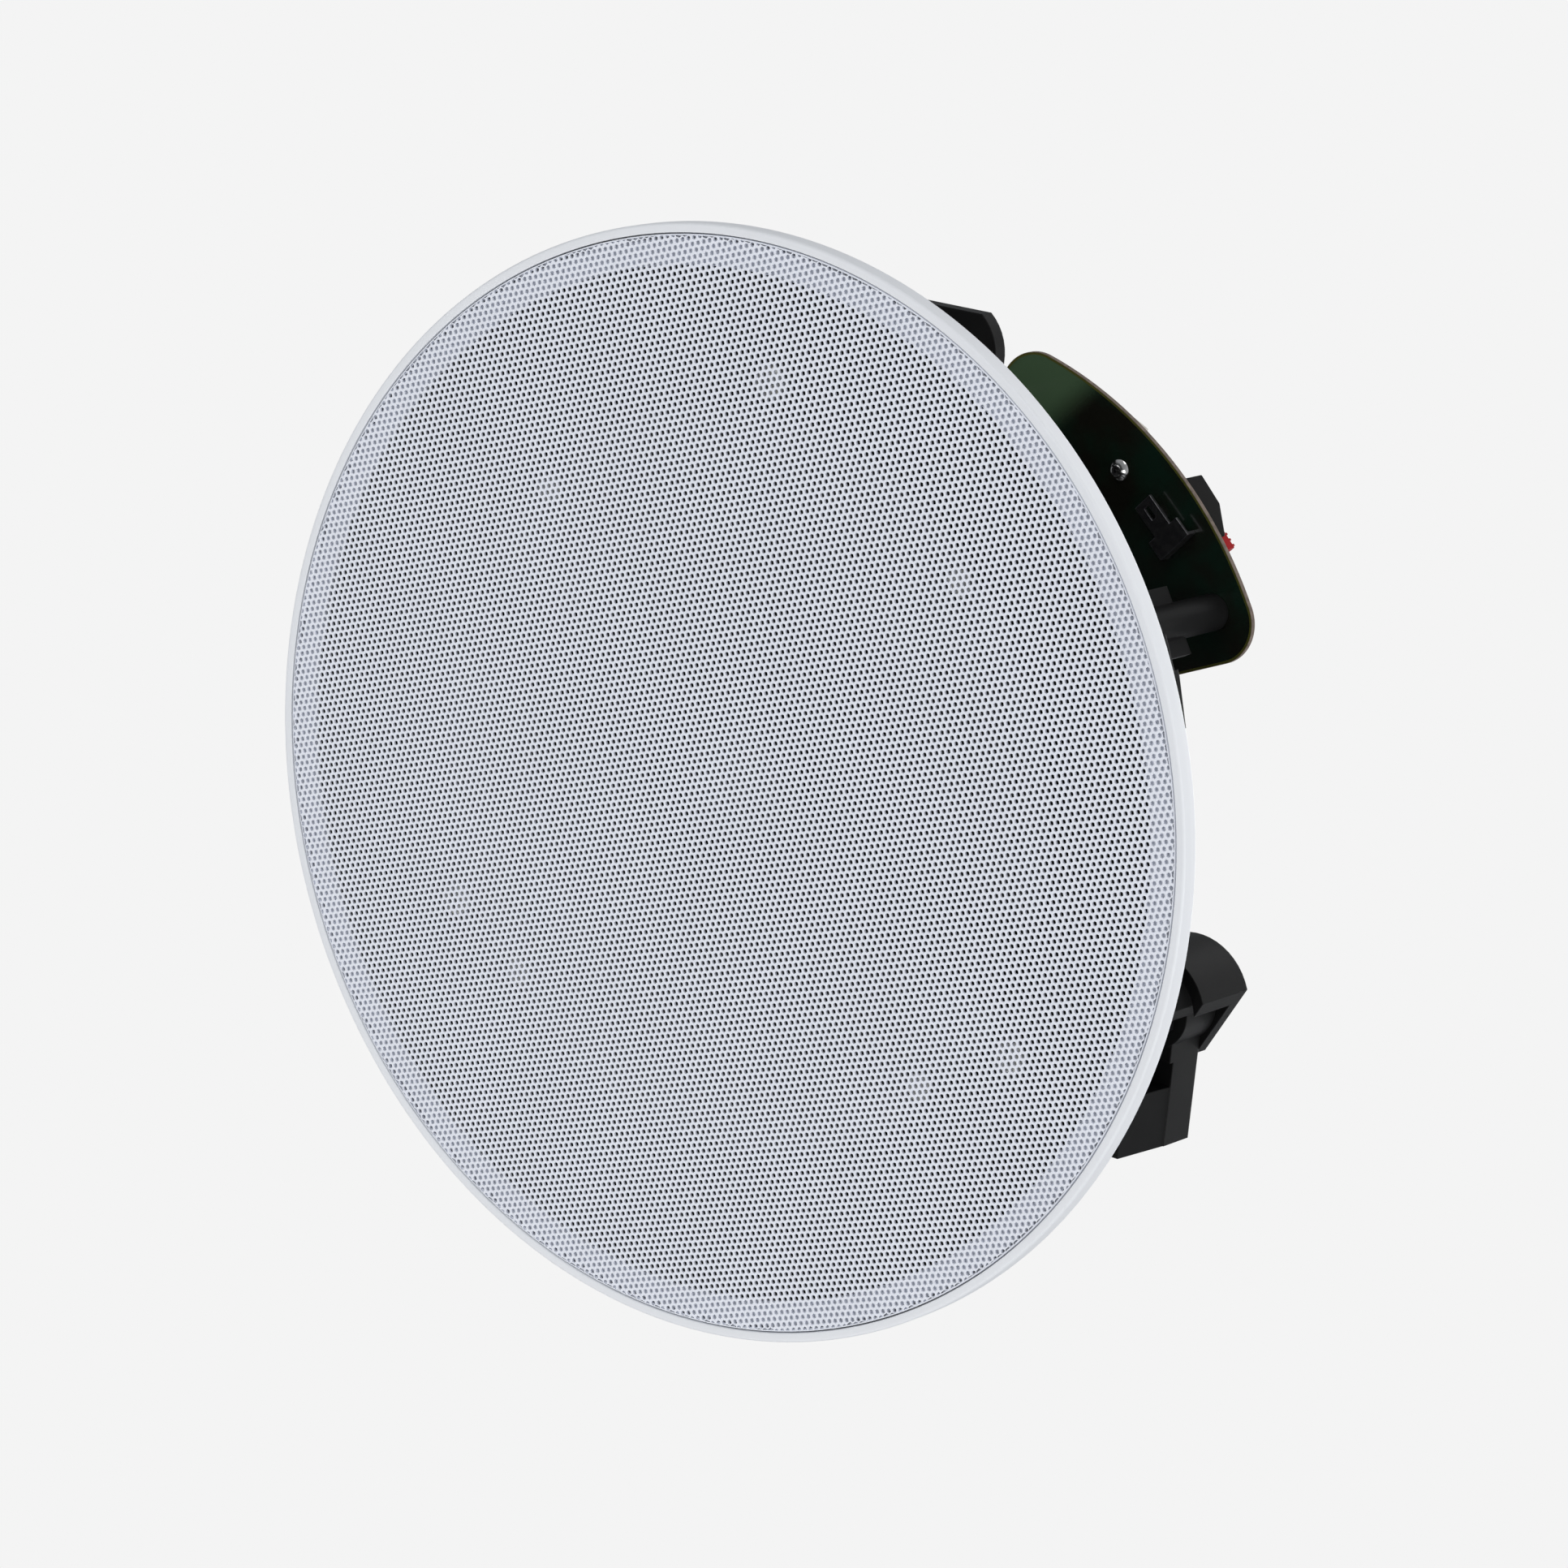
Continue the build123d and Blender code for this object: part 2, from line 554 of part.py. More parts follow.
# Moving part of the woofer: cone, cap, former and winding
former_outer = COIL_RADIUS + FORMER_WALL
write(
    ring_section(
        (former_outer, CONE_NECK),
        (CONE_OUTER, BASKET_FRONT),
        (CONE_OUTER, BASKET_FRONT + CONE_THICKNESS),
        (former_outer, CONE_NECK + CONE_THICKNESS),
    ),
    "woofer_cone",
)
write(
    ring_section(
        (COIL_RADIUS, CONE_NECK),
        (former_outer, CONE_NECK),
        (former_outer, FORMER_REAR),
        (COIL_RADIUS, FORMER_REAR),
    ),
    "voice_coil_former",
)
write(
    ring_section(
        (former_outer, FORMER_REAR - WINDING_LENGTH),
        (former_outer + WINDING_THICKNESS, FORMER_REAR - WINDING_LENGTH),
        (former_outer + WINDING_THICKNESS, FORMER_REAR),
        (former_outer, FORMER_REAR),
    ),
    "voice_coil",
)
write(
    ring_section(
        (0, CONE_NECK - DUST_CAP_RISE),
        (DUST_CAP_CROWN, CONE_NECK - DUST_CAP_RISE),
        (former_outer, CONE_NECK),
        (former_outer - DUST_CAP_WALL, CONE_NECK),
        (DUST_CAP_CROWN, CONE_NECK - DUST_CAP_RISE + DUST_CAP_WALL),
        (0, CONE_NECK - DUST_CAP_RISE + DUST_CAP_WALL),
    ),
    "dust_cap",
)

# Suspension: trough-shaped edge at the front, flat spider behind
trough_in = CONE_OUTER + SURROUND_SIDE
trough_out = basket_inside(BASKET_FRONT + SURROUND_DROP) - SURROUND_THICKNESS - SURROUND_CLEARANCE
land_front = BASKET_FRONT - SURROUND_THICKNESS
write(
    ring_section(
        (CONE_OUTER - SURROUND_LAND, land_front),
        (trough_in, land_front),
        (trough_in, land_front + SURROUND_DROP),
        (trough_out, land_front + SURROUND_DROP),
        (trough_out, land_front),
        (BASKET_THROAT + SURROUND_LAND, land_front),
        (BASKET_THROAT + SURROUND_LAND, BASKET_FRONT),
        (trough_out + SURROUND_THICKNESS, BASKET_FRONT),
        (trough_out + SURROUND_THICKNESS, BASKET_FRONT + SURROUND_DROP),
        (trough_in - SURROUND_THICKNESS, BASKET_FRONT + SURROUND_DROP),
        (trough_in - SURROUND_THICKNESS, BASKET_FRONT),
        (CONE_OUTER - SURROUND_LAND, BASKET_FRONT),
    ),
    "cone_surround",
)
write(
    ring_section(
        (former_outer, SPIDER_HEIGHT),
        (spider_edge, SPIDER_HEIGHT),
        (spider_edge, SPIDER_REAR),
        (former_outer, SPIDER_REAR),
    ),
    "spider",
)

# Magnet system: plate, ring and vented yoke with its pole
write(
    ring_section(
        (COIL_OPENING, BASKET_REAR),
        (TOP_PLATE_RADIUS, BASKET_REAR),
        (TOP_PLATE_RADIUS, TOP_PLATE_REAR),
        (COIL_OPENING, TOP_PLATE_REAR),
    ),
    "top_plate",
)
write(
    ring_section(
        (MAGNET_INNER, TOP_PLATE_REAR),
        (MAGNET_RADIUS, TOP_PLATE_REAR),
        (MAGNET_RADIUS, MAGNET_REAR),
        (MAGNET_INNER, MAGNET_REAR),
    ),
    "ring_magnet",
)
write(
    ring_section(
        (POLE_VENT, BASKET_REAR),
        (POLE_RADIUS, BASKET_REAR),
        (POLE_RADIUS, MAGNET_REAR),
        (YOKE_RADIUS, MAGNET_REAR),
        (YOKE_RADIUS, YOKE_REAR - YOKE_CHAMFER),
        (YOKE_RADIUS - YOKE_CHAMFER, YOKE_REAR),
        (POLE_VENT, YOKE_REAR),
    ),
    "pole_yoke",
)

# Tweeter bridge: a bar with a ring in the middle, its feet on the woofer's flange
with BuildPart() as tweeter_bridge:
    with BuildSketch(station(0, BRIDGE_TURN, BRIDGE_FRONT)):
        Rectangle(2 * BASKET_FLANGE_RADIUS, BRIDGE_WIDTH)
        Circle(BRIDGE_RING_RADIUS)
        Circle(TWEETER_RADIUS + TWEETER_CLEARANCE, mode=Mode.SUBTRACT)
    extrude(amount=BRIDGE_THICKNESS)
    foot_middle = BASKET_FLANGE_RADIUS - BRIDGE_FOOT_LENGTH / 2
    with BuildSketch(station(0, BRIDGE_TURN, BRIDGE_REAR)):
        with Locations((foot_middle, 0), (-foot_middle, 0)):
            Rectangle(BRIDGE_FOOT_LENGTH, BRIDGE_WIDTH)
    extrude(amount=BASKET_FRONT - BRIDGE_REAR)
write(tweeter_bridge, "tweeter_bridge")

# Tweeter: a cup with a flared mouth and a lip behind the ring, and its dome
well_floor = BRIDGE_FRONT + TWEETER_WELL
lip_radius = TWEETER_RADIUS + TWEETER_LIP_WIDTH
write(
    ring_section(
        (0, well_floor),
        (DOME_RADIUS + TWEETER_CLEARANCE, well_floor),
        (TWEETER_RADIUS - TWEETER_RIM, BRIDGE_FRONT),
        (TWEETER_RADIUS, BRIDGE_FRONT),
        (TWEETER_RADIUS, BRIDGE_REAR),
        (lip_radius, BRIDGE_REAR),
        (lip_radius, BRIDGE_FRONT + TWEETER_DEPTH),
        (TWEETER_MAGNET_RADIUS, BRIDGE_FRONT + TWEETER_DEPTH),
        (TWEETER_MAGNET_RADIUS, BRIDGE_FRONT + TWEETER_DEPTH + TWEETER_MAGNET_DEPTH),
        (0, BRIDGE_FRONT + TWEETER_DEPTH + TWEETER_MAGNET_DEPTH),
    ),
    "tweeter_body",
)
write(
    ring_section(
        (0, well_floor - DOME_RISE),
        (DOME_CROWN, well_floor - DOME_RISE),
        (DOME_RADIUS, well_floor),
        (0, well_floor),
    ),
    "tweeter_dome",
)

# Crossover board: a ring sector with round corners, on two posts
with BuildPart() as crossover_board:
    first, last = BOARD_ANGLES
    with BuildSketch(Plane.XY.offset(BOARD_FRONT)) as outline:
        with BuildLine():
            CenterArc((0, 0), BOARD_RADIUS, first, last - first)
            Line(spot(BOARD_RADIUS, last), spot(BOARD_INNER, last))
            CenterArc((0, 0), BOARD_INNER, first, last - first)
            Line(spot(BOARD_INNER, first), spot(BOARD_RADIUS, first))
        make_face()
        corners = outline.vertices().sort_by(SortBy.DISTANCE)
        fillet(corners[:2], BOARD_INNER_CORNER)
        fillet(outline.vertices().sort_by(SortBy.DISTANCE)[-2:], BOARD_CORNER)
        with Locations(*[spot(radius, angle) for radius, angle in POST_PLACES]):
            Circle(BOARD_SCREW_RADIUS, mode=Mode.SUBTRACT)
    extrude(amount=BOARD_THICKNESS)
write(crossover_board, "crossover_board")

with BuildPart() as board_screws:
    with BuildSketch(Plane.XY.offset(BOARD_REAR)):
        with Locations(*[spot(radius, angle) for radius, angle in POST_PLACES]):
            RegularPolygon(BOARD_SCREW_HEAD, 6)
    extrude(amount=BOARD_SCREW_HEAD_HEIGHT)
    with BuildSketch(Plane.XY.offset(BOARD_REAR)):
        with Locations(*[spot(radius, angle) for radius, angle in POST_PLACES]):
            Circle(BOARD_SCREW_RADIUS)
    extrude(amount=-(BOARD_THICKNESS + BOARD_SCREW_LENGTH))
write(board_screws, "board_screws")

# Front of the board: soldered pin heads and a blade terminal
with BuildPart() as solder_studs:
    with BuildSketch(Plane.XY.offset(BOARD_FRONT)):
        with Locations(*[spot(radius, angle) for radius, angle in STUD_PLACES]):
            Circle(STUD_RADIUS)
    extrude(amount=-STUD_HEIGHT, taper=20)
write(solder_studs, "solder_studs")

with BuildPart() as spade_tab:
    radius, angle = BOARD_RADIUS - TAB_SPOT[0], TAB_SPOT[1]
    bench = station(radius, angle, BOARD_FRONT - TAB_LIFT, TAB_TURN - angle)
    with BuildSketch(bench):
        Rectangle(TAB_BASE_LENGTH, TAB_BASE_WIDTH, align=(Align.MIN, Align.CENTER))
        Rectangle(TAB_LENGTH, TAB_WIDTH, align=(Align.MIN, Align.CENTER))
        with Locations((TAB_LENGTH - TAB_SLOT[0], 0)):
            Rectangle(*TAB_SLOT, mode=Mode.SUBTRACT)
    extrude(amount=-TAB_THICKNESS)
    with BuildSketch(bench):
        Rectangle(TAB_THICKNESS, TAB_BASE_WIDTH, align=(Align.MIN, Align.CENTER))
    extrude(amount=TAB_LIFT)
write(spade_tab, "spade_tab")

# Push terminal on the rear of the board; its own plane has X outwards and Y along its length
terminal_bench = board_bench(TERMINAL_SPOT)
terminal_side = Plane(origin=terminal_bench.origin, x_dir=terminal_bench.y_dir, z_dir=terminal_bench.x_dir)
pivot_along, pivot_height = LEVER_PIVOT
slot_width = LEVER_WIDTH + 2 * LEVER_CLEARANCE
slot_floor = pivot_height - LEVER_HUB_RADIUS - LEVER_CLEARANCE
slot_back = pivot_along - LEVER_HUB_RADIUS - LEVER_CLEARANCE
with BuildPart() as terminal_block:
    with BuildSketch(terminal_side.offset(-TERMINAL_DEPTH / 2)):
        with BuildLine():
            Polyline(
                (-TERMINAL_LENGTH / 2, 0),
                (TERMINAL_LENGTH / 2, 0),
                (TERMINAL_LENGTH / 2, TERMINAL_HEIGHT - TERMINAL_SLOPE),
                (0, TERMINAL_HEIGHT),
                (-TERMINAL_LENGTH / 2, TERMINAL_HEIGHT),
                close=True,
            )
        make_face()
    extrude(amount=TERMINAL_DEPTH)
    with BuildSketch(terminal_bench.offset(slot_floor)):
        with Locations((LEVER_OFFSET, slot_back), (-LEVER_OFFSET, slot_back)):
            Rectangle(slot_width, TERMINAL_LENGTH, align=(Align.CENTER, Align.MIN))
    extrude(amount=TERMINAL_HEIGHT, mode=Mode.SUBTRACT)
write(terminal_block, "terminal_block")

# Spring levers of the terminal: a round hub, a bar and finger ridges
for name, side in (("red_lever", 1), ("black_lever", -1)):
    with BuildPart() as lever:
        with BuildSketch(terminal_side.offset(side * LEVER_OFFSET - LEVER_WIDTH / 2)):
            with Locations(LEVER_PIVOT):
                Circle(LEVER_HUB_RADIUS)
                Rectangle(LEVER_LENGTH, LEVER_THICKNESS, align=(Align.MIN, Align.CENTER))
                for ridge in range(LEVER_RIDGES):
                    with Locations((LEVER_LENGTH - (ridge + 0.5) * LEVER_RIDGE_PITCH, LEVER_THICKNESS / 2)):
                        Rectangle(LEVER_RIDGE, 2 * LEVER_RIDGE)
        extrude(amount=LEVER_WIDTH)
    write(lever, name)

# Rear of the board: inductor, capacitors and resistor
bobbin_bench = board_bench(BOBBIN_SPOT)
with BuildPart() as inductor_bobbin:
    for level in (0, BOBBIN_HEIGHT - BOBBIN_CHEEK):
        with BuildSketch(bobbin_bench.offset(level)):
            Circle(BOBBIN_RADIUS)
        extrude(amount=BOBBIN_CHEEK)
    with BuildSketch(bobbin_bench):
        Circle(BOBBIN_CORE)
    extrude(amount=BOBBIN_HEIGHT)
write(inductor_bobbin, "inductor_bobbin")

with BuildPart() as inductor_winding:
    with BuildSketch(bobbin_bench.offset(BOBBIN_CHEEK)):
        Circle(BOBBIN_CORE + INDUCTOR_WIRE)
        Circle(BOBBIN_CORE, mode=Mode.SUBTRACT)
    extrude(amount=BOBBIN_HEIGHT - 2 * BOBBIN_CHEEK)
write(inductor_winding, "inductor_winding")

with BuildPart() as film_capacitors:
    for place in CAPACITOR_SPOTS:
        with Locations(board_bench(place)):
            Box(*CAPACITOR_SIZE, align=(Align.CENTER, Align.CENTER, Align.MIN))
write(film_capacitors, "film_capacitors")

with BuildPart() as power_resistor:
    with Locations(board_bench(RESISTOR_SPOT)):
        Box(*RESISTOR_SIZE, align=(Align.CENTER, Align.CENTER, Align.MIN))
write(power_resistor, "power_resistor")
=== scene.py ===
"""Looks of a round in-ceiling speaker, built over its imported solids.

Every length is in metres and every piece lies in the solids' own frame: +Z points up into the ceiling,
the grille looks along -Z. Each class is one sub-assembly; main() builds them in order.
"""
import json
import logging
import math
from dataclasses import dataclass, field
from enum import Enum
from typing import Any, Iterable, Sequence

import bpy
import numpy as np
from mathutils import Matrix, Vector


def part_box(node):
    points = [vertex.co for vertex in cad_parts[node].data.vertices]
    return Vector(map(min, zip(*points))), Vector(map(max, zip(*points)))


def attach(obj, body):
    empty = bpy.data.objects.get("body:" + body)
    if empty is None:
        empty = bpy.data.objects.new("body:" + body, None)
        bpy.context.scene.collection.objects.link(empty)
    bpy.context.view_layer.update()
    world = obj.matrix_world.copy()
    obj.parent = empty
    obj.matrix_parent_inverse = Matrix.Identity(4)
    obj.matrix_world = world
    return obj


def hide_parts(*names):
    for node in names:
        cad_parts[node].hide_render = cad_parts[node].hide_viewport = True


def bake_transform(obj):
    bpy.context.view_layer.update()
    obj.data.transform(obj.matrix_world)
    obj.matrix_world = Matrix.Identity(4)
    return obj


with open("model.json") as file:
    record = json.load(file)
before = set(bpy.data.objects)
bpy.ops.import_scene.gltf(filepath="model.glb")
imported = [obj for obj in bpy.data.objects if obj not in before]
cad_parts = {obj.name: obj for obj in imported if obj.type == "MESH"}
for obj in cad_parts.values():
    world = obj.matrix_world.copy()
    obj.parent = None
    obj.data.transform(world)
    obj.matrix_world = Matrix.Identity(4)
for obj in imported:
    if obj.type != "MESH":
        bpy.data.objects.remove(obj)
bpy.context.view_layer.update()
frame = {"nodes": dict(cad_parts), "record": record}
LOG = logging.getLogger("speaker")
MM = 0.001
Point = tuple[float, float]
Triple = tuple[float, float, float]
Piece, Tree, Socket = bpy.types.Object, bpy.types.NodeTree, bpy.types.NodeSocket

# what all finishes share: bump, coat, rounded edges, spread of roughness and where the two tones meet
BUMP_STRENGTH = 0.6
COAT_ROUGHNESS = 0.06
EDGE_SAMPLES = 6
ROUGH_SPREAD = (0.9, 1.12)
TONE_STOPS = (0.38, 0.62)
BRUSH_STRETCH = (1.0, 0.04, 1.0)
WAVE_DISTORTION = 0.3
# a Mix node's sockets in its colour mode
MIX_SHARE, MIX_A, MIX_B, MIX_RESULT = 0, 6, 7, 2


class Pattern(Enum):
    """How a surface's fine relief is laid out."""

    GRAIN = "grain"
    BRUSHED = "brushed"
    WOVEN = "woven"
    WOUND = "wound"
    TRACES = "traces"


def linear(colour: str) -> tuple[float, float, float, float]:
    """Turns an sRGB hex colour into linear values.

    Args:
        colour: six hex digits with a leading hash.

    Returns:
        Linear red, green, blue and an alpha of 1.
    """
    parts = [int(colour[i : i + 2], 16) / 255 for i in (1, 3, 5)]
    return (*[c / 12.92 if c <= 0.04045 else ((c + 0.055) / 1.055) ** 2.4 for c in parts], 1.0)


def add_node(tree: Tree, kind: str, inputs: dict[Any, Any] | None = None, **settings: Any) -> bpy.types.Node:
    """Adds a node, sets it and links or fills its inputs.

    Args:
        tree: the node tree that gets the node.
        kind: the node's type name.
        inputs: input name or number to an output socket, which is linked, or a plain value.
        settings: attributes of the node.

    Returns:
        The new node.
    """
    node = tree.nodes.new(kind)
    for key, value in settings.items():
        setattr(node, key, value)
    for key, value in (inputs or {}).items():
        if isinstance(value, Socket):
            tree.links.new(value, node.inputs[key])
        else:
            node.inputs[key].default_value = value
    return node


@dataclass(frozen=True)
class Finish:
    """One real material: what it is, how its surface was made and what that gives the eye.

    gloss is 0.5 on a clean polished face and less where a dusty or textured one scatters the light;
    grain_mm is the size of the relief, relief_mm its height, mottle the share of tone that drifts and
    edge_mm the rounding that mould or press leaves on edges.
    """

    name: str
    colour: str
    roughness: float
    metallic: float = 0.0
    gloss: float = 0.5
    coat: float = 0.0
    second: str = ""
    mottle: float = 0.12
    mottle_mm: float = 5.0
    grain_mm: float = 0.3
    relief_mm: float = 0.03
    pattern: Pattern = Pattern.GRAIN
    edge_mm: float = 0.0

    def build(self) -> bpy.types.Material:
        """Makes the node material, or gives the one already made.

        Returns:
            The material.
        """
        made = bpy.data.materials.get(self.name)
        if made:
            return made
        material = bpy.data.materials.new(self.name)
        material.use_nodes = True
        tree = material.node_tree
        tree.nodes.clear()
        place = add_node(tree, "ShaderNodeTexCoord").outputs["Object"]
        relief = self.relief(tree, place)
        least, most = (min(1.0, self.roughness * share) for share in ROUGH_SPREAD)
        spread = {"Value": relief, "To Min": least, "To Max": most}
        rough = add_node(tree, "ShaderNodeMapRange", spread).outputs["Result"]
        height = {"Height": relief, "Distance": self.relief_mm * MM, "Strength": BUMP_STRENGTH}
        bump = add_node(tree, "ShaderNodeBump", height)
        if self.edge_mm:
            rounded = add_node(tree, "ShaderNodeBevel", {"Radius": self.edge_mm * MM}, samples=EDGE_SAMPLES)
            tree.links.new(rounded.outputs["Normal"], bump.inputs["Normal"])
        shader = add_node(
            tree,
            "ShaderNodeBsdfPrincipled",
            {
                "Base Color": self.tone(tree, place),
                "Roughness": rough,
                "Normal": bump.outputs["Normal"],
                "Metallic": self.metallic,
                "Specular IOR Level": self.gloss,
                "Coat Weight": self.coat,
                "Coat Roughness": COAT_ROUGHNESS,
            },
        )
        add_node(tree, "ShaderNodeOutputMaterial", {"Surface": shader.outputs["BSDF"]})
        return material

    def tone(self, tree: Tree, place: Socket) -> Socket:
        """Adds the nodes of the colour, which drifts slowly between two tones.

        Args:
            tree: the material's tree.
            place: the object coordinates.

        Returns:
            The colour's socket.
        """
        noise = {"Vector": place, "Scale": 1 / (self.mottle_mm * MM), "Detail": 3.0}
        drift = add_node(tree, "ShaderNodeTexNoise", noise).outputs["Fac"]
        base = linear(self.colour)
        darker = (*[c * (1 - self.mottle) for c in base[:3]], 1.0)
        other = linear(self.second) if self.second else darker
        ramp = add_node(tree, "ShaderNodeValToRGB", {"Fac": drift})
        for element, position, colour in zip(ramp.color_ramp.elements, TONE_STOPS, (other, base)):
            element.position = position
            element.color = colour
        return ramp.outputs["Color"]

    def relief(self, tree: Tree, place: Socket) -> Socket:
        """Adds the nodes of the fine relief.

        Args:
            tree: the material's tree.
            place: the object coordinates.

        Returns:
            The socket with the relief's height from 0 to 1.
        """
        scale = 1 / (self.grain_mm * MM)
        if self.pattern is Pattern.BRUSHED:
            stretch = {"Vector": place, "Scale": BRUSH_STRETCH}
            drawn = add_node(tree, "ShaderNodeMapping", stretch).outputs["Vector"]
            noise = {"Vector": drawn, "Scale": scale, "Detail": 2.0}
            return add_node(tree, "ShaderNodeTexNoise", noise).outputs["Fac"]
        if self.pattern in (Pattern.WOVEN, Pattern.WOUND):
            wave = {"Vector": place, "Scale": scale / math.tau, "Distortion": WAVE_DISTORTION}
            axes = ("X", "Y") if self.pattern is Pattern.WOVEN else ("Z", "Z")
            waves = [add_node(tree, "ShaderNodeTexWave", wave, bands_direction=axis) for axis in axes]
            bands = [wave.outputs["Fac"] for wave in waves]
            return add_node(tree, "ShaderNodeMath", dict(enumerate(bands)), operation="MULTIPLY").outputs[0]
        if self.pattern is Pattern.TRACES:
            cells = {"Vector": place, "Scale": scale}
            return add_node(tree, "ShaderNodeTexVoronoi", cells, distance="MANHATTAN").outputs["Distance"]
        noise = {"Vector": place, "Scale": scale, "Detail": 4.0}
        return add_node(tree, "ShaderNodeTexNoise", noise).outputs["Fac"]


@dataclass(frozen=True)
class Lacquer(Finish):
    """Solder lacquer with a painted highlight: a lighter green patch, soft at its edges, painted at the
    board's top end where light falls, beside the dark lacquer.
    """

    # painted highlight: colour, middle, turn, half sizes in mm and fade in mm of the lighter patch that
    # stands in for light on the board's top end
    painted_light_colour: str = "#465C43"
    painted_light_middle: Triple = (0.0365, -0.0735, 0.0)
    painted_light_turn: float = math.radians(-33.0)
    painted_light_half: tuple[float, float] = (12.0, 4.6)
    painted_light_fade: float = 8.0

    def tone(self, tree: Tree, place: Socket) -> Socket:
        """Mixes the lacquer's own tones with the painted highlight, a lighter green over the lit patch.

        Args:
            tree: the material's tree.
            place: the object coordinates.

        Returns:
            The colour's socket.
        """
        own = super().tone(tree, place)
        # painted highlight: the lighter green fades out past the patch's half sizes
        to_painted_light = {"Vector": place, "Location": self.painted_light_middle, "Rotation": (0.0, 0.0, self.painted_light_turn)}
        aside = add_node(tree, "ShaderNodeMapping", to_painted_light, vector_type="TEXTURE").outputs["Vector"]
        axes = add_node(tree, "ShaderNodeSeparateXYZ", {"Vector": aside}).outputs
        shares = []
        for axis, half in zip(("X", "Y"), self.painted_light_half):
            far = add_node(tree, "ShaderNodeMath", {0: axes[axis]}, operation="ABSOLUTE").outputs[0]
            limits = {"Value": far, "From Min": half * MM, "From Max": (half + self.painted_light_fade) * MM}
            limits |= {"To Min": 1.0, "To Max": 0.0}
            fade = add_node(tree, "ShaderNodeMapRange", limits, interpolation_type="SMOOTHSTEP")
            shares.append(fade.outputs["Result"])
        share = add_node(tree, "ShaderNodeMath", dict(enumerate(shares)), operation="MULTIPLY").outputs[0]
        mix = add_node(tree, "ShaderNodeMix", data_type="RGBA")
        tree.links.new(share, mix.inputs[MIX_SHARE])
        tree.links.new(own, mix.inputs[MIX_A])
        mix.inputs[MIX_B].default_value = linear(self.painted_light_colour)
        return mix.outputs[MIX_RESULT]


# bare laminate at the routed edge, where the resin shows tan
LAMINATE = Finish("routed_laminate", "#75665B", 0.65, second="#5E5148", mottle_mm=1.2, grain_mm=0.2)
# thin margin where the lacquer stops: yellow-green resin
MARGIN = Finish("bare_board_margin", "#4B4B1B", 0.35, coat=0.3, mottle=0.1, mottle_mm=4, relief_mm=0.01)

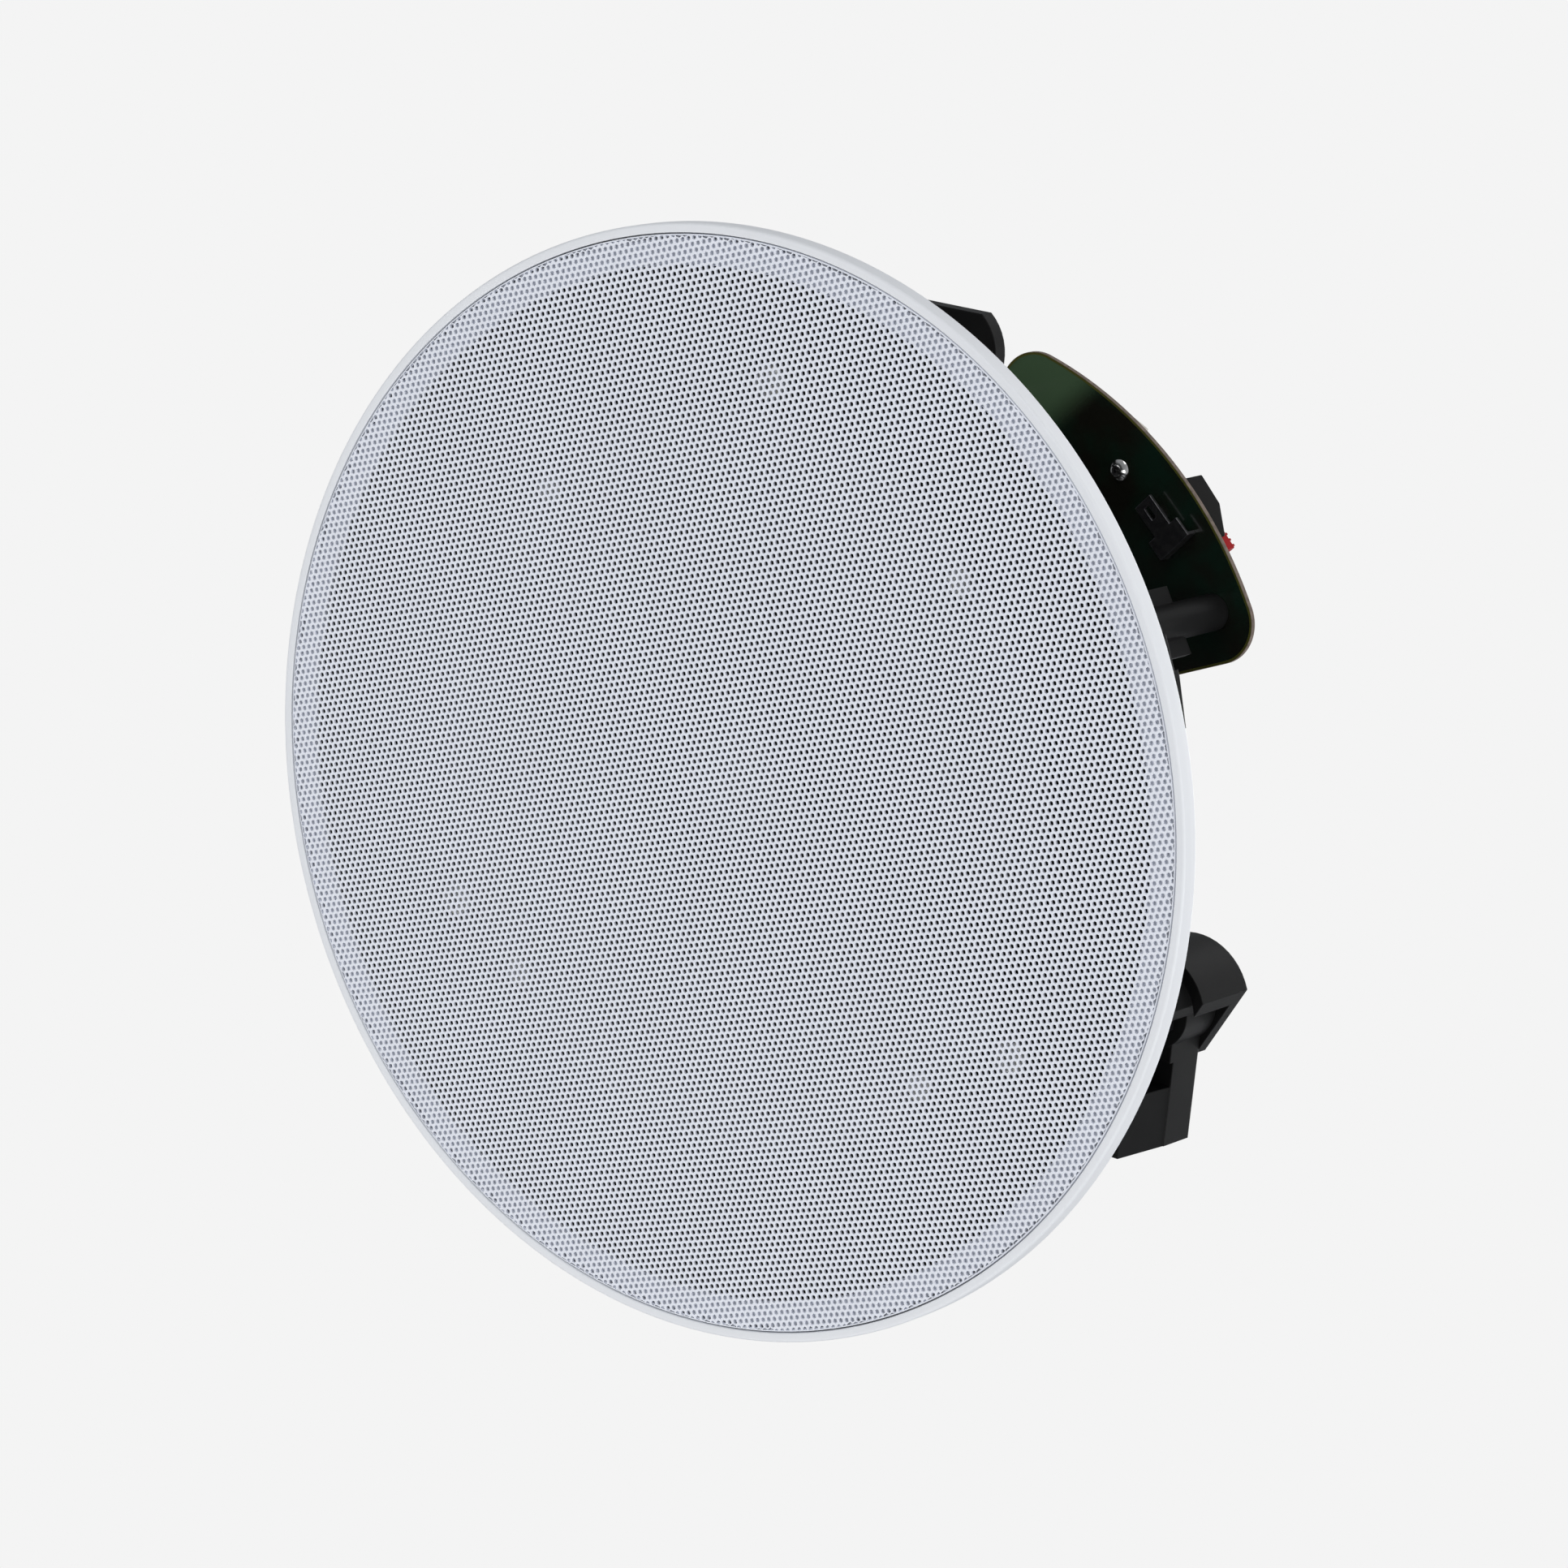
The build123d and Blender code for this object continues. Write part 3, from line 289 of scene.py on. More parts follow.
SLOT_FINISH: dict[str, Finish] = {
    # ABS moulded and painted satin: almost no grain, a soft even gloss
    "white_plastic": Finish(
        "satin_white_abs", "#EAECEF", 0.42, mottle=0.015, mottle_mm=40, grain_mm=0.5, relief_mm=0.006,
    ),
    # steel sheet with powder paint: cool off-white, faint orange peel
    "grille_paint": Finish(
        "powder_paint_sheet", "#EBEEF6", 0.5, mottle=0.02, mottle_mm=30, grain_mm=0.4, relief_mm=0.006,
    ),
    # ABS moulded with a fine spark texture: deep black with a broad grey sheen
    "black_plastic": Finish(
        "moulded_black_abs", "#171717", 0.48, gloss=0.1, edge_mm=0.4, mottle=0.2, mottle_mm=25, grain_mm=0.35,
        relief_mm=0.015,
    ),
    # glass-filled nylon: a little glossier, flow marks
    "clamp_plastic": Finish(
        "moulded_black_nylon", "#161616", 0.42, gloss=0.13, edge_mm=0.45, mottle=0.2, mottle_mm=9,
        relief_mm=0.012,
    ),
    # zinc plated and passivated steel: bright, faintly yellow-blue
    "zinc_steel": Finish(
        "zinc_plated_steel", "#C9C8C0", 0.28, metallic=1.0, second="#B4B7B8", mottle_mm=3, grain_mm=0.2,
        relief_mm=0.004,
    ),
    # turned steel under black oxide: a dark, slightly oily gloss
    "nut_steel": Finish(
        "black_oxide_steel", "#232325", 0.35, metallic=0.6, mottle_mm=3, grain_mm=0.2, relief_mm=0.005,
    ),
    # pressed steel basket under black stove paint: smooth with slight orange peel
    "basket_paint": Finish(
        "stoved_black_paint", "#161617", 0.32, edge_mm=0.5, mottle=0.1, mottle_mm=20, grain_mm=0.9,
        relief_mm=0.02,
    ),
    # closed-cell foam: dull, pitted
    "gasket_foam": Finish(
        "closed_cell_foam", "#242424", 0.9, mottle=0.3, mottle_mm=1.5, grain_mm=0.4, relief_mm=0.1,
    ),
    # pulp pressed into a cone: matt with fibres
    "cone_fibre": Finish(
        "pressed_pulp", "#232323", 0.8, mottle=0.3, mottle_mm=4, grain_mm=0.5, relief_mm=0.06,
    ),
    # butyl rubber: matt with a low sheen
    "surround_rubber": Finish("butyl_rubber", "#161616", 0.55, mottle=0.15, mottle_mm=10, relief_mm=0.01),
    # cotton cloth stiffened with resin: amber, woven
    "spider_cloth": Finish(
        "resin_cotton_cloth", "#B08A45", 0.7, second="#96702F", mottle_mm=6, grain_mm=0.8, relief_mm=0.12,
        pattern=Pattern.WOVEN,
    ),
    # aluminium foil former
    "former_aluminium": Finish("aluminium_foil", "#C9CBCD", 0.3, metallic=1.0, mottle_mm=8, relief_mm=0.005),
    # enamelled copper wire laid turn on turn
    "copper_wire": Finish(
        "enamelled_copper", "#B5622F", 0.3, metallic=1.0, second="#8F4A22", mottle_mm=2, grain_mm=0.6,
        relief_mm=0.05, pattern=Pattern.WOUND,
    ),
    # zinc plated mild steel plates: brushed by rolling
    "plated_steel": Finish(
        "plated_mild_steel", "#9A9A97", 0.38, metallic=1.0, edge_mm=0.4, second="#888A8B", mottle_mm=14,
        grain_mm=0.5, relief_mm=0.006, pattern=Pattern.BRUSHED,
    ),
    # sintered and ground ferrite: dark grey, faintly metallic, granular
    "ferrite": Finish("ground_ferrite", "#37373A", 0.55, metallic=0.15, mottle=0.2, grain_mm=0.25),
    # coated silk dome
    "dome_cloth": Finish(
        "coated_silk", "#17171A", 0.5, mottle=0.2, mottle_mm=3, grain_mm=0.35, pattern=Pattern.WOVEN,
    ),
    # glass-fibre board under glossy green solder lacquer, with a painted highlight at its top end
    "board_green": Lacquer(
        "green_solder_lacquer", "#0E2017", 0.2, coat=0.5, second="#14140F", mottle_mm=9, grain_mm=6.0,
        relief_mm=0.015, pattern=Pattern.TRACES,
    ),
    # tin-lead solder: bright, slightly rippled
    "solder": Finish(
        "bright_solder", "#D6D6D4", 0.16, metallic=1.0, second="#BEBEBC", mottle_mm=1.5, grain_mm=0.8,
    ),
    # tinned brass blade: dull grey
    "tinned_brass": Finish(
        "dull_tin", "#7A797B", 0.34, metallic=1.0, edge_mm=0.15, second="#68676B", mottle_mm=1.6,
        grain_mm=0.4, relief_mm=0.02, pattern=Pattern.BRUSHED,
    ),
    # polyamide terminal: matt black
    "terminal_plastic": Finish(
        "matt_black_polyamide", "#0B0A09", 0.6, gloss=0.08, edge_mm=0.3, mottle=0.15, mottle_mm=6,
        grain_mm=0.25, relief_mm=0.015,
    ),
    # ABS lever, coloured red through
    "red_plastic": Finish("moulded_red_abs", "#A0080F", 0.35, gloss=0.06, relief_mm=0.01),
    # phenolic bobbin
    "bobbin_plastic": Finish("black_phenolic", "#252321", 0.45, mottle=0.15, relief_mm=0.02),
    # epoxy-dipped film capacitor: glossy, rounded by the dip
    "capacitor_film": Finish("dipped_epoxy", "#A8731C", 0.25, coat=0.4, grain_mm=1.2),
    # cast cement resistor: chalky with pores
    "cement": Finish("cast_cement", "#D9D5CA", 0.85, mottle=0.1, mottle_mm=4, grain_mm=0.35, relief_mm=0.06),
}


# edges sharper than these stay creased, and edges sharper than ROUNDED_EDGE get a rounding
TURNED_CREASE = math.radians(32)
MOULDED_CREASE = math.radians(40)
HEAD_CREASE = math.radians(30)
ROUNDED_EDGE = math.radians(35)
# faces that turn by less than this are one flat face, and points closer than this are one point
FLAT_ANGLE = math.radians(1.0)
WELD = 2e-6


class Bench:
    """Hand tools on bpy.ops that the sub-assemblies share."""

    @staticmethod
    def clear() -> None:
        """Leaves edit mode and deselects everything."""
        if bpy.context.object and bpy.context.object.mode != "OBJECT":
            bpy.ops.object.mode_set(mode="OBJECT")
        bpy.ops.object.select_all(action="DESELECT")

    @staticmethod
    def take(piece: Piece) -> None:
        """Makes one piece the only selected and active object.

        Args:
            piece: the piece to take.
        """
        Bench.clear()
        piece.select_set(True)
        bpy.context.view_layer.objects.active = piece

    @staticmethod
    def copy_of(source: Piece, name: str) -> Piece:
        """Links a new object with its own copy of a mesh.

        Args:
            source: the object whose mesh is copied.
            name: the copy's name.

        Returns:
            The copy.
        """
        piece = bpy.data.objects.new(name, source.data.copy())
        bpy.context.scene.collection.objects.link(piece)
        return piece

    @staticmethod
    def edit_all() -> None:
        """Goes into edit mode with the whole active mesh selected."""
        bpy.ops.object.mode_set(mode="EDIT")
        bpy.ops.mesh.select_all(action="SELECT")

    @staticmethod
    def face_out() -> None:
        """Points all faces of the mesh in edit mode outwards and leaves edit mode."""
        bpy.ops.mesh.select_all(action="SELECT")
        bpy.ops.mesh.normals_make_consistent(inside=False)
        bpy.ops.object.mode_set(mode="OBJECT")

    @staticmethod
    def modify(piece: Piece, kind: str, **settings: Any) -> None:
        """Adds a modifier to a piece, sets it and applies it.

        Args:
            piece: the piece, which becomes the active one.
            kind: the modifier's type.
            settings: attributes of the modifier.
        """
        Bench.take(piece)
        modifier = piece.modifiers.new(kind.lower(), kind)
        for key, value in settings.items():
            setattr(modifier, key, value)
        bpy.ops.object.modifier_apply(modifier=modifier.name)

    @staticmethod
    def pick(piece: Piece, mask: Sequence[bool]) -> None:
        """Goes into edit mode with just the masked faces selected.

        Args:
            piece: the piece to edit.
            mask: for each face, whether it is picked.
        """
        Bench.take(piece)
        bpy.ops.object.mode_set(mode="EDIT")
        bpy.ops.mesh.select_mode(type="FACE")
        bpy.ops.mesh.select_all(action="DESELECT")
        bpy.ops.object.mode_set(mode="OBJECT")
        piece.data.polygons.foreach_set("select", [bool(flag) for flag in mask])
        bpy.ops.object.mode_set(mode="EDIT")

    @staticmethod
    def lathe(name: str, outline: Sequence[Point], steps: int = 128) -> Piece:
        """Turns a closed outline round Z: a circle is extruded and resized from point to point.

        Args:
            name: the piece's name.
            outline: radius and height of each point; a radius of 0 is allowed at the first and last.
            steps: facets round the axis.

        Returns:
            The turned piece, its faces pointing outwards.
        """
        Bench.clear()
        tip = 1e-6
        points = [(max(radius, tip), height) for radius, height in outline]
        radius, height = points[0]
        bpy.ops.mesh.primitive_circle_add(vertices=steps, radius=radius, location=(0, 0, height))
        piece = bpy.context.object
        piece.name = name
        bpy.ops.object.transform_apply(location=True)
        Bench.edit_all()
        for (old, low), (new, high) in zip(points, points[1:]):
            bpy.ops.mesh.extrude_edges_move(TRANSFORM_OT_translate={"value": (0, 0, high - low)})
            bpy.ops.transform.resize(value=(new / old, new / old, 1), center_override=(0, 0, high))
        bpy.ops.mesh.select_all(action="DESELECT")
        bpy.ops.mesh.select_mode(type="EDGE")
        bpy.ops.mesh.select_non_manifold()
        if points[0][0] > tip or points[-1][0] > tip:
            bpy.ops.mesh.bridge_edge_loops()
        bpy.ops.mesh.select_mode(type="VERT")
        bpy.ops.mesh.select_all(action="SELECT")
        bpy.ops.mesh.remove_doubles(threshold=4 * tip)
        Bench.face_out()
        bpy.ops.object.shade_smooth_by_angle(angle=TURNED_CREASE)
        return piece

    @staticmethod
    def softened(node: str, name: str, width_mm: float, segments: int = 2) -> Piece:
        """Copies a solid's mesh, welds it and rounds its edges, as a mould or press leaves them.

        Args:
            node: the solid that is copied.
            name: the piece's name.
            width_mm: width of the rounding.
            segments: facets across the rounding.

        Returns:
            The softened copy.
        """
        Bench.clear()
        piece = Bench.copy_of(frame["nodes"][node], name)
        Bench.take(piece)
        Bench.edit_all()
        bpy.ops.mesh.remove_doubles(threshold=WELD)
        bpy.ops.mesh.dissolve_limited(angle_limit=FLAT_ANGLE)
        bpy.ops.object.mode_set(mode="OBJECT")
        if piece.data.has_custom_normals:
            bpy.ops.mesh.customdata_custom_splitnormals_clear()
        edges = {"limit_method": "ANGLE", "angle_limit": ROUNDED_EDGE, "use_clamp_overlap": True}
        Bench.modify(piece, "BEVEL", width=width_mm * MM, segments=segments, **edges)
        bpy.ops.object.shade_smooth_by_angle(angle=MOULDED_CREASE)
        Bench.modify(piece, "WEIGHTED_NORMAL", keep_sharp=True)
        return piece

    @staticmethod
    def dress(piece: Piece, body: str | None, slot: str, *nodes: str) -> None:
        """Gives a piece the finish of its slot, hangs it on its body and hides the solids that it stands for.

        Args:
            piece: the finished mesh.
            body: the moving body that carries it, or None for a piece that is hung on no body.
            slot: the record's material slot.
            nodes: the solids that it replaces.
        """
        piece.data.materials.clear()
        piece.data.materials.append(SLOT_FINISH[slot].build())
        if body:
            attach(piece, body)
        if nodes:
            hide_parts(*nodes)
        LOG.info("%s rides on %s, %d faces", piece.name, body, len(piece.data.polygons))


def across(radius: float, degrees: float) -> Matrix:
    """The move from the axis to a place given by radius and angle.

    Args:
        radius: distance from the axis.
        degrees: angle from +X towards +Y.

    Returns:
        The move as a matrix.
    """
    angle = math.radians(degrees)
    return Matrix.Translation((radius * math.cos(angle), radius * math.sin(angle), 0))


@dataclass
class Grille:
    """Perforated sheet with a turned rim; its holes lie on a triangular lattice."""

    pitch: float = 1.5 * MM
    hole_inradius: float = 0.476 * MM
    # share of half a pitch past which a cell's wall is shared with its neighbour
    shared_wall: float = 0.97
    sheet: float = 0.5 * MM
    # the lattice's turn and its shift in pitches, as they lie in the photograph
    row_turn: float = math.radians(-6.28)
    shift: Point = (4.99, -0.55)
    edge: float = 113.7 * MM
    # share of a pitch by which a cell's middle may lie past the edge
    edge_share: float = 0.15
    # inset and rise of the turned edge's points
    bend_mm: tuple[Point, ...] = ((0.15, 0.0), (0.04, 0.05), (0.0, 0.2))
    hem_inner: float = 107.6 * MM
    hem_shy: float = 0.7 * MM
    hem_gaps: Point = (0.35 * MM, 0.6 * MM)
    bands: int = 6
    spare_columns: int = 6
    weld: float = 0.01 * MM
    facets: int = 192
    rise: float = field(init=False)
    front: float = field(init=False)

    def __post_init__(self) -> None:
        """Takes the rows' distance from the pitch and the sheet's front plane from the solid."""
        self.rise = self.pitch * math.sqrt(3) / 2
        self.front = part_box("grille")[0].z

    def tile(self) -> Piece:
        """One six-sided cell of sheet with its hole: a disc inset, pierced and given its thickness.

        Returns:
            The cell at the origin, without the walls that it shares with its neighbours.
        """
        Bench.clear()
        bpy.ops.mesh.primitive_circle_add(vertices=6, radius=self.pitch / math.sqrt(3), fill_type="NGON")
        cell = bpy.context.object
        Bench.edit_all()
        bpy.ops.mesh.inset(thickness=self.pitch / 2 - self.hole_inradius, depth=0)
        bpy.ops.mesh.delete(type="FACE")
        bpy.ops.mesh.select_all(action="SELECT")
        bpy.ops.mesh.extrude_region_move(TRANSFORM_OT_translate={"value": (0, 0, self.sheet)})
        bpy.ops.object.mode_set(mode="OBJECT")
        near = self.pitch / 2 * self.shared_wall
        faces = cell.data.polygons
        Bench.pick(cell, [abs(face.normal.z) < 0.5 and math.hypot(*face.center[:2]) > near for face in faces])
        bpy.ops.mesh.delete(type="FACE")
        bpy.ops.mesh.select_mode(type="VERT")
        Bench.face_out()
        return cell

    def band(self, cell: Piece, name: str, first: int, rows: int) -> Piece:
        """A strip of the sheet: the cell is repeated along and across, then cut to the round.

        Args:
            cell: the cell to repeat.
            name: the strip's name.
            first: number of the strip's first row, 0 at the lattice's origin; even.
            rows: how many rows the strip has; even.

        Returns:
            The strip in its place.
        """
        columns = 2 * (int(self.edge / self.pitch) + self.spare_columns)
        strip = Bench.copy_of(cell, name)
        constant = {"use_relative_offset": False, "use_constant_offset": True}
        stagger, pair = (self.pitch / 2, self.rise, 0), (0, 2 * self.rise, 0)
        for count, offset in ((columns, (self.pitch, 0, 0)), (2, stagger), (rows // 2, pair)):
            Bench.modify(strip, "ARRAY", count=count, constant_offset_displace=offset, **constant)
        left = self.shift[0] * self.pitch - columns / 2 * self.pitch
        bottom = self.shift[1] * self.pitch + first * self.rise
        turn = Matrix.Rotation(self.row_turn, 4, "Z")
        strip.data.transform(turn @ Matrix.Translation((left, bottom, self.front)))
        self.cut_round(strip, len(cell.data.polygons))
        return strip

    def cut_round(self, strip: Piece, faces_per_cell: int) -> None:
        """Deletes the cells outside the sheet's round edge and draws those on it in to the edge.

        Args:
            strip: the strip to cut.
            faces_per_cell: faces in one cell, which lie together in the mesh.
        """
        mesh = strip.data
        centres = np.empty(len(mesh.polygons) * 3)
        mesh.polygons.foreach_get("center", centres)
        cells = centres.reshape(-1, faces_per_cell, 3).mean(axis=1)
        outside = np.hypot(cells[:, 0], cells[:, 1]) > self.edge + self.edge_share * self.pitch
        Bench.pick(strip, np.repeat(outside, faces_per_cell))
        bpy.ops.mesh.delete(type="FACE")
        bpy.ops.mesh.select_mode(type="VERT")
        bpy.ops.mesh.select_all(action="SELECT")
        bpy.ops.mesh.remove_doubles(threshold=self.weld)
        bpy.ops.object.mode_set(mode="OBJECT")
        places = np.empty(len(mesh.vertices) * 3)
        mesh.vertices.foreach_get("co", places)
        places = places.reshape(-1, 3)
        reach = np.hypot(places[:, 0], places[:, 1])
        places[:, :2] *= np.minimum(1.0, self.edge / np.maximum(reach, 1e-9))[:, None]
        mesh.vertices.foreach_set("co", places.ravel())
        mesh.update()

    def build(self) -> None:
        """Makes the strips, the turned rim and the hem behind the outer rows."""
        half = int((self.edge + abs(self.shift[1]) * self.pitch) / self.rise) + 2
        rows = 2 * math.ceil(half / self.bands)
        cell = self.tile()
        for number in range(self.bands):
            first = -self.bands * rows // 2 + number * rows
            first -= first % 2
            strip = self.band(cell, f"perforated_sheet_{number + 1}", first, rows)
            Bench.dress(strip, "housing", "grille_paint", *(["grille"] if number == 0 else []))
        bpy.data.objects.remove(cell)
        back = self.front + self.sheet
        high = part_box("grille")[1]
        outer = high.x
        rim = [
            (self.edge, self.front),
            *((outer - inset * MM, self.front + rise * MM) for inset, rise in self.bend_mm),
            (outer, high.z),
            (outer - self.sheet, high.z),
            (outer - self.sheet, back),
            (self.edge, back),
        ]
        Bench.dress(Bench.lathe("sheet_rim", rim, self.facets), "housing", "grille_paint")
        hem_outer = self.edge - self.hem_shy
        near, far = (back + gap for gap in self.hem_gaps)
        hem = [(self.hem_inner, near), (hem_outer, near), (hem_outer, far), (self.hem_inner, far)]
        Bench.dress(Bench.lathe("sheet_hem", hem, self.facets), "housing", "grille_paint")


@dataclass
class TrimRing:
    """White ring round the grille with a rounded outer edge."""

    lip: float = 2.0 * MM
    floor: float = 1.6 * MM
    flange_cover: float = 6.3 * MM
    outer_round: float = 0.6 * MM
    inner_round: float = 0.2 * MM
    rear_round: float = 0.3 * MM
    facets: int = 256

    def arc(self, middle: Point, radius: float, start: float, end: float, steps: int = 5) -> list[Point]:
        """Points of an arc in the section.

        Args:
            middle: the arc's middle.
            radius: its radius.
            start: first angle in degrees, from outwards towards +Z.
            end: last angle.
            steps: how many chords it has.

        Returns:
            The points from start to end.
        """
        angles = [math.radians(start + (end - start) * step / steps) for step in range(steps + 1)]
        return [(middle[0] + radius * math.cos(a), middle[1] + radius * math.sin(a)) for a in angles]

    def build(self) -> None:
        """Turns the section and dresses it."""
        low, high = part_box("bezel_ring")
        outer, face, inner = high.x, low.z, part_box("chassis")[1].x - self.flange_cover
        r_out, r_in, rear = self.outer_round, self.inner_round, self.rear_round
        outline = [(inner, -self.floor), (inner, 0.0)]
        outline += self.arc((outer - rear, -rear), rear, 90, 0)
        outline += self.arc((outer - r_out, face + r_out), r_out, 0, -90, 8)
        outline += self.arc((outer - self.lip + r_in, face + r_in), r_in, -90, -180)
        outline += [(outer - self.lip, -self.floor)]
        Bench.dress(Bench.lathe("trim_ring", outline, self.facets), "housing", "white_plastic", "bezel_ring")


@dataclass
class SkirtTongue:
    """Tongue that stands up from the skirt's rear edge beside the board and shows as a dark sliver."""

    angle: float = math.radians(-10.0)
    face: float = 100.54 * MM
    thickness: float = 2.08 * MM
    reach: float = 9.5 * MM
    start: float = 2.2 * MM
    shoulder: float = 0.8 * MM
    seat: float = 21.5 * MM
    rise: float = 2.8 * MM
    end_rise: float = 0.8 * MM

    def build(self) -> None:
        """Draws the tongue's side on a grid, gives it its thickness and turns it into place."""
        Bench.clear()
        bpy.ops.mesh.primitive_grid_add(x_subdivisions=2, y_subdivisions=1, size=2)
        tongue = bpy.context.object
        tongue.name = "skirt_tongue"
        along = {-1: (-self.start, self.rise), 0: (-self.shoulder, self.rise), 1: (self.reach, self.end_rise)}
        for vertex in tongue.data.vertices:
            place, rise = along[round(vertex.co.x)]
            vertex.co = (self.face, place, self.seat + (rise if vertex.co.y > 0 else 0.0))
        Bench.edit_all()
        bpy.ops.mesh.extrude_region_move(TRANSFORM_OT_translate={"value": (-self.thickness, 0, 0)})
        Bench.face_out()
        tongue.data.transform(Matrix.Rotation(self.angle, 4, "Z"))
        Bench.dress(tongue, "housing", "black_plastic")


@dataclass
class Mouldings:
    """Black mouldings and pressings whose edges the tool has rounded."""

    pieces: tuple[tuple[str, str, str, float], ...] = (
        *((f"clamp_dog_{number}", f"clamp_dog_{number}", "clamp_plastic", 0.5) for number in (1, 2, 3)),
        ("top_plate", "housing", "plated_steel", 0.3),
        ("ring_magnet", "housing", "ferrite", 0.8),
        ("pole_yoke", "housing", "plated_steel", 0.3),
        ("terminal_block", "housing", "terminal_plastic", 0.4),
        ("red_lever", "red_lever", "red_plastic", 0.25),
        ("black_lever", "black_lever", "terminal_plastic", 0.25),
        ("spade_tab", "housing", "tinned_brass", 0.12),
        ("film_capacitors", "housing", "capacitor_film", 1.2),
        ("power_resistor", "housing", "cement", 0.5),
        ("inductor_bobbin", "housing", "bobbin_plastic", 0.2),
    )

    def build(self) -> None:
        """Makes a softened copy of each."""
        for node, body, slot, width in self.pieces:
            Bench.dress(Bench.softened(node, f"soft_{node}", width), body, slot, node)


@dataclass
class Board:
    """Crossover board: lacquered faces, a bare margin and a routed tan edge."""

    margin: float = 0.5 * MM
    edge_mm: float = 0.1

    def build(self) -> None:
        """Copies the board, insets its faces and gives edge, margin and lacquer their finishes."""
        board = Bench.softened("crossover_board", "lacquered_board", self.edge_mm, 1)
        Bench.dress(board, "housing", "board_green", "crossover_board")
        for finish in (LAMINATE, MARGIN):
            board.data.materials.append(finish.build())
        for face in board.data.polygons:
            face.material_index = 1
        Bench.pick(board, [abs(face.normal.z) > 0.9 for face in board.data.polygons])
        board.active_material_index = 2
        bpy.ops.object.material_slot_assign()
        bpy.ops.mesh.inset(thickness=self.margin, depth=0, use_boundary=True)
        board.active_material_index = 0
        bpy.ops.object.material_slot_assign()
        bpy.ops.object.mode_set(mode="OBJECT")


@dataclass
class Suspension:
    """Rubber roll, corrugated spider and foam gasket: the woofer's soft rings."""

    wave: float = 4.6 * MM
    swing: float = 1.1 * MM
    points_per_wave: int = 8
    facets: int = 120
    roll_middle: float = 61.4 * MM
    roll_radius: float = 2.8 * MM
    roll_lap: float = 3.0 * MM
    roll_steps: int = 12
    rubber: float = 1.0 * MM
    glued_rim: float = 3.2 * MM
    neck_grip: float = 0.5 * MM
    foam_width: float = 2.3 * MM
    foam_round: float = 0.25 * MM
    roll_sectors: int = 12
    spider_sectors: int = 6

    def roll(self) -> Piece:
        """The half roll round the cone, bulging to the rear.

        Returns:
            The whole roll.
        """
        low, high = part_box("cone_surround")
        inner, outer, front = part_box("woofer_cone")[1].x - self.roll_lap, high.x, low.z
        middle, back = self.roll_middle, front + self.rubber
        arc = [math.radians(180 - 180 / self.roll_steps * step) for step in range(self.roll_steps + 1)]
        near, far = (
            [(middle + radius * math.cos(a), front + radius * math.sin(a)) for a in arc]
            for radius in (self.roll_radius, self.roll_radius + self.rubber)
        )
        outline = [(inner, front), *near, (outer, front), (outer, back), *reversed(far[1:-1]), (inner, back)]
        return Bench.lathe("rubber_roll", outline, self.facets)

    def spider(self) -> Piece:
        """The corrugated cloth disc that centres the coil.

        Returns:
            The whole spider.
        """
        low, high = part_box("spider")
        inner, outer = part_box("voice_coil_former")[1].x, high.x
        span = outer - self.glued_rim - inner
        waves = round(span / self.wave)
        count = waves * self.points_per_wave
        front = [
            (inner + span * step / count, low.z - self.swing * math.sin(math.tau * waves * step / count))
            for step in range(count + 1)
        ]
        front.append((outer, low.z))
        thick = high.z - low.z
        rear = [(radius, height + thick) for radius, height in reversed(front)]
        return Bench.lathe("corrugated_spider", front + rear, self.facets)

    def gasket(self) -> Piece:
        """The foam ring that the basket presses flat.

        Returns:
            The ring.
        """
        low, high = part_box("woofer_gasket")
        outer, inner, pad = high.x, high.x - self.foam_width, self.foam_round
        middle = (low.z + high.z) / 2
        front = [(inner, middle), (inner + pad, low.z), (outer - pad, low.z)]
        outline = [*front, (outer, middle), (outer - pad, high.z), (inner + pad, high.z)]
        return Bench.lathe("foam_ring", outline)

    def give_way(self, ring: Piece, slot: str, node: str, sectors: int) -> None:
        """Cuts a ring into sectors round the axis, each closed over its cut faces and hung on no body.

        Args:
            ring: the whole ring.
            slot: the record's material slot.
            node: the solid that the ring stands for.
            sectors: how many sectors it is cut into; a divisor of the facets.
        """
        half = math.pi / sectors
        for number in range(1, sectors + 1):
            middle = Vector((math.cos(2 * half * number), math.sin(2 * half * number), 0.0))
            sector = Bench.copy_of(ring, f"{ring.name}_{number}")
            centres = [Vector((*face.center[:2], 0.0)) for face in sector.data.polygons]
            Bench.pick(sector, [centre.angle(middle) > half for centre in centres])
            bpy.ops.mesh.delete(type="FACE")
            bpy.ops.mesh.select_mode(type="VERT")
            bpy.ops.mesh.select_all(action="SELECT")
            bpy.ops.mesh.fill_holes(sides=0)
            Bench.face_out()
            bpy.ops.object.shade_smooth_by_angle(angle=TURNED_CREASE)
            Bench.dress(sector, None, slot, *([node] if number == 1 else []))
            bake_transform(sector)
        bpy.data.objects.remove(ring)

    def build(self) -> None:
        """Makes the three rings; roll and spider are cut into sectors hung on no body, the foam rides on the
        housing.
        """
        self.give_way(self.roll(), "surround_rubber", "cone_surround", self.roll_sectors)
        self.give_way(self.spider(), "spider_cloth", "spider", self.spider_sectors)
        foam = self.gasket()
        Bench.dress(foam, "housing", "gasket_foam", "woofer_gasket")


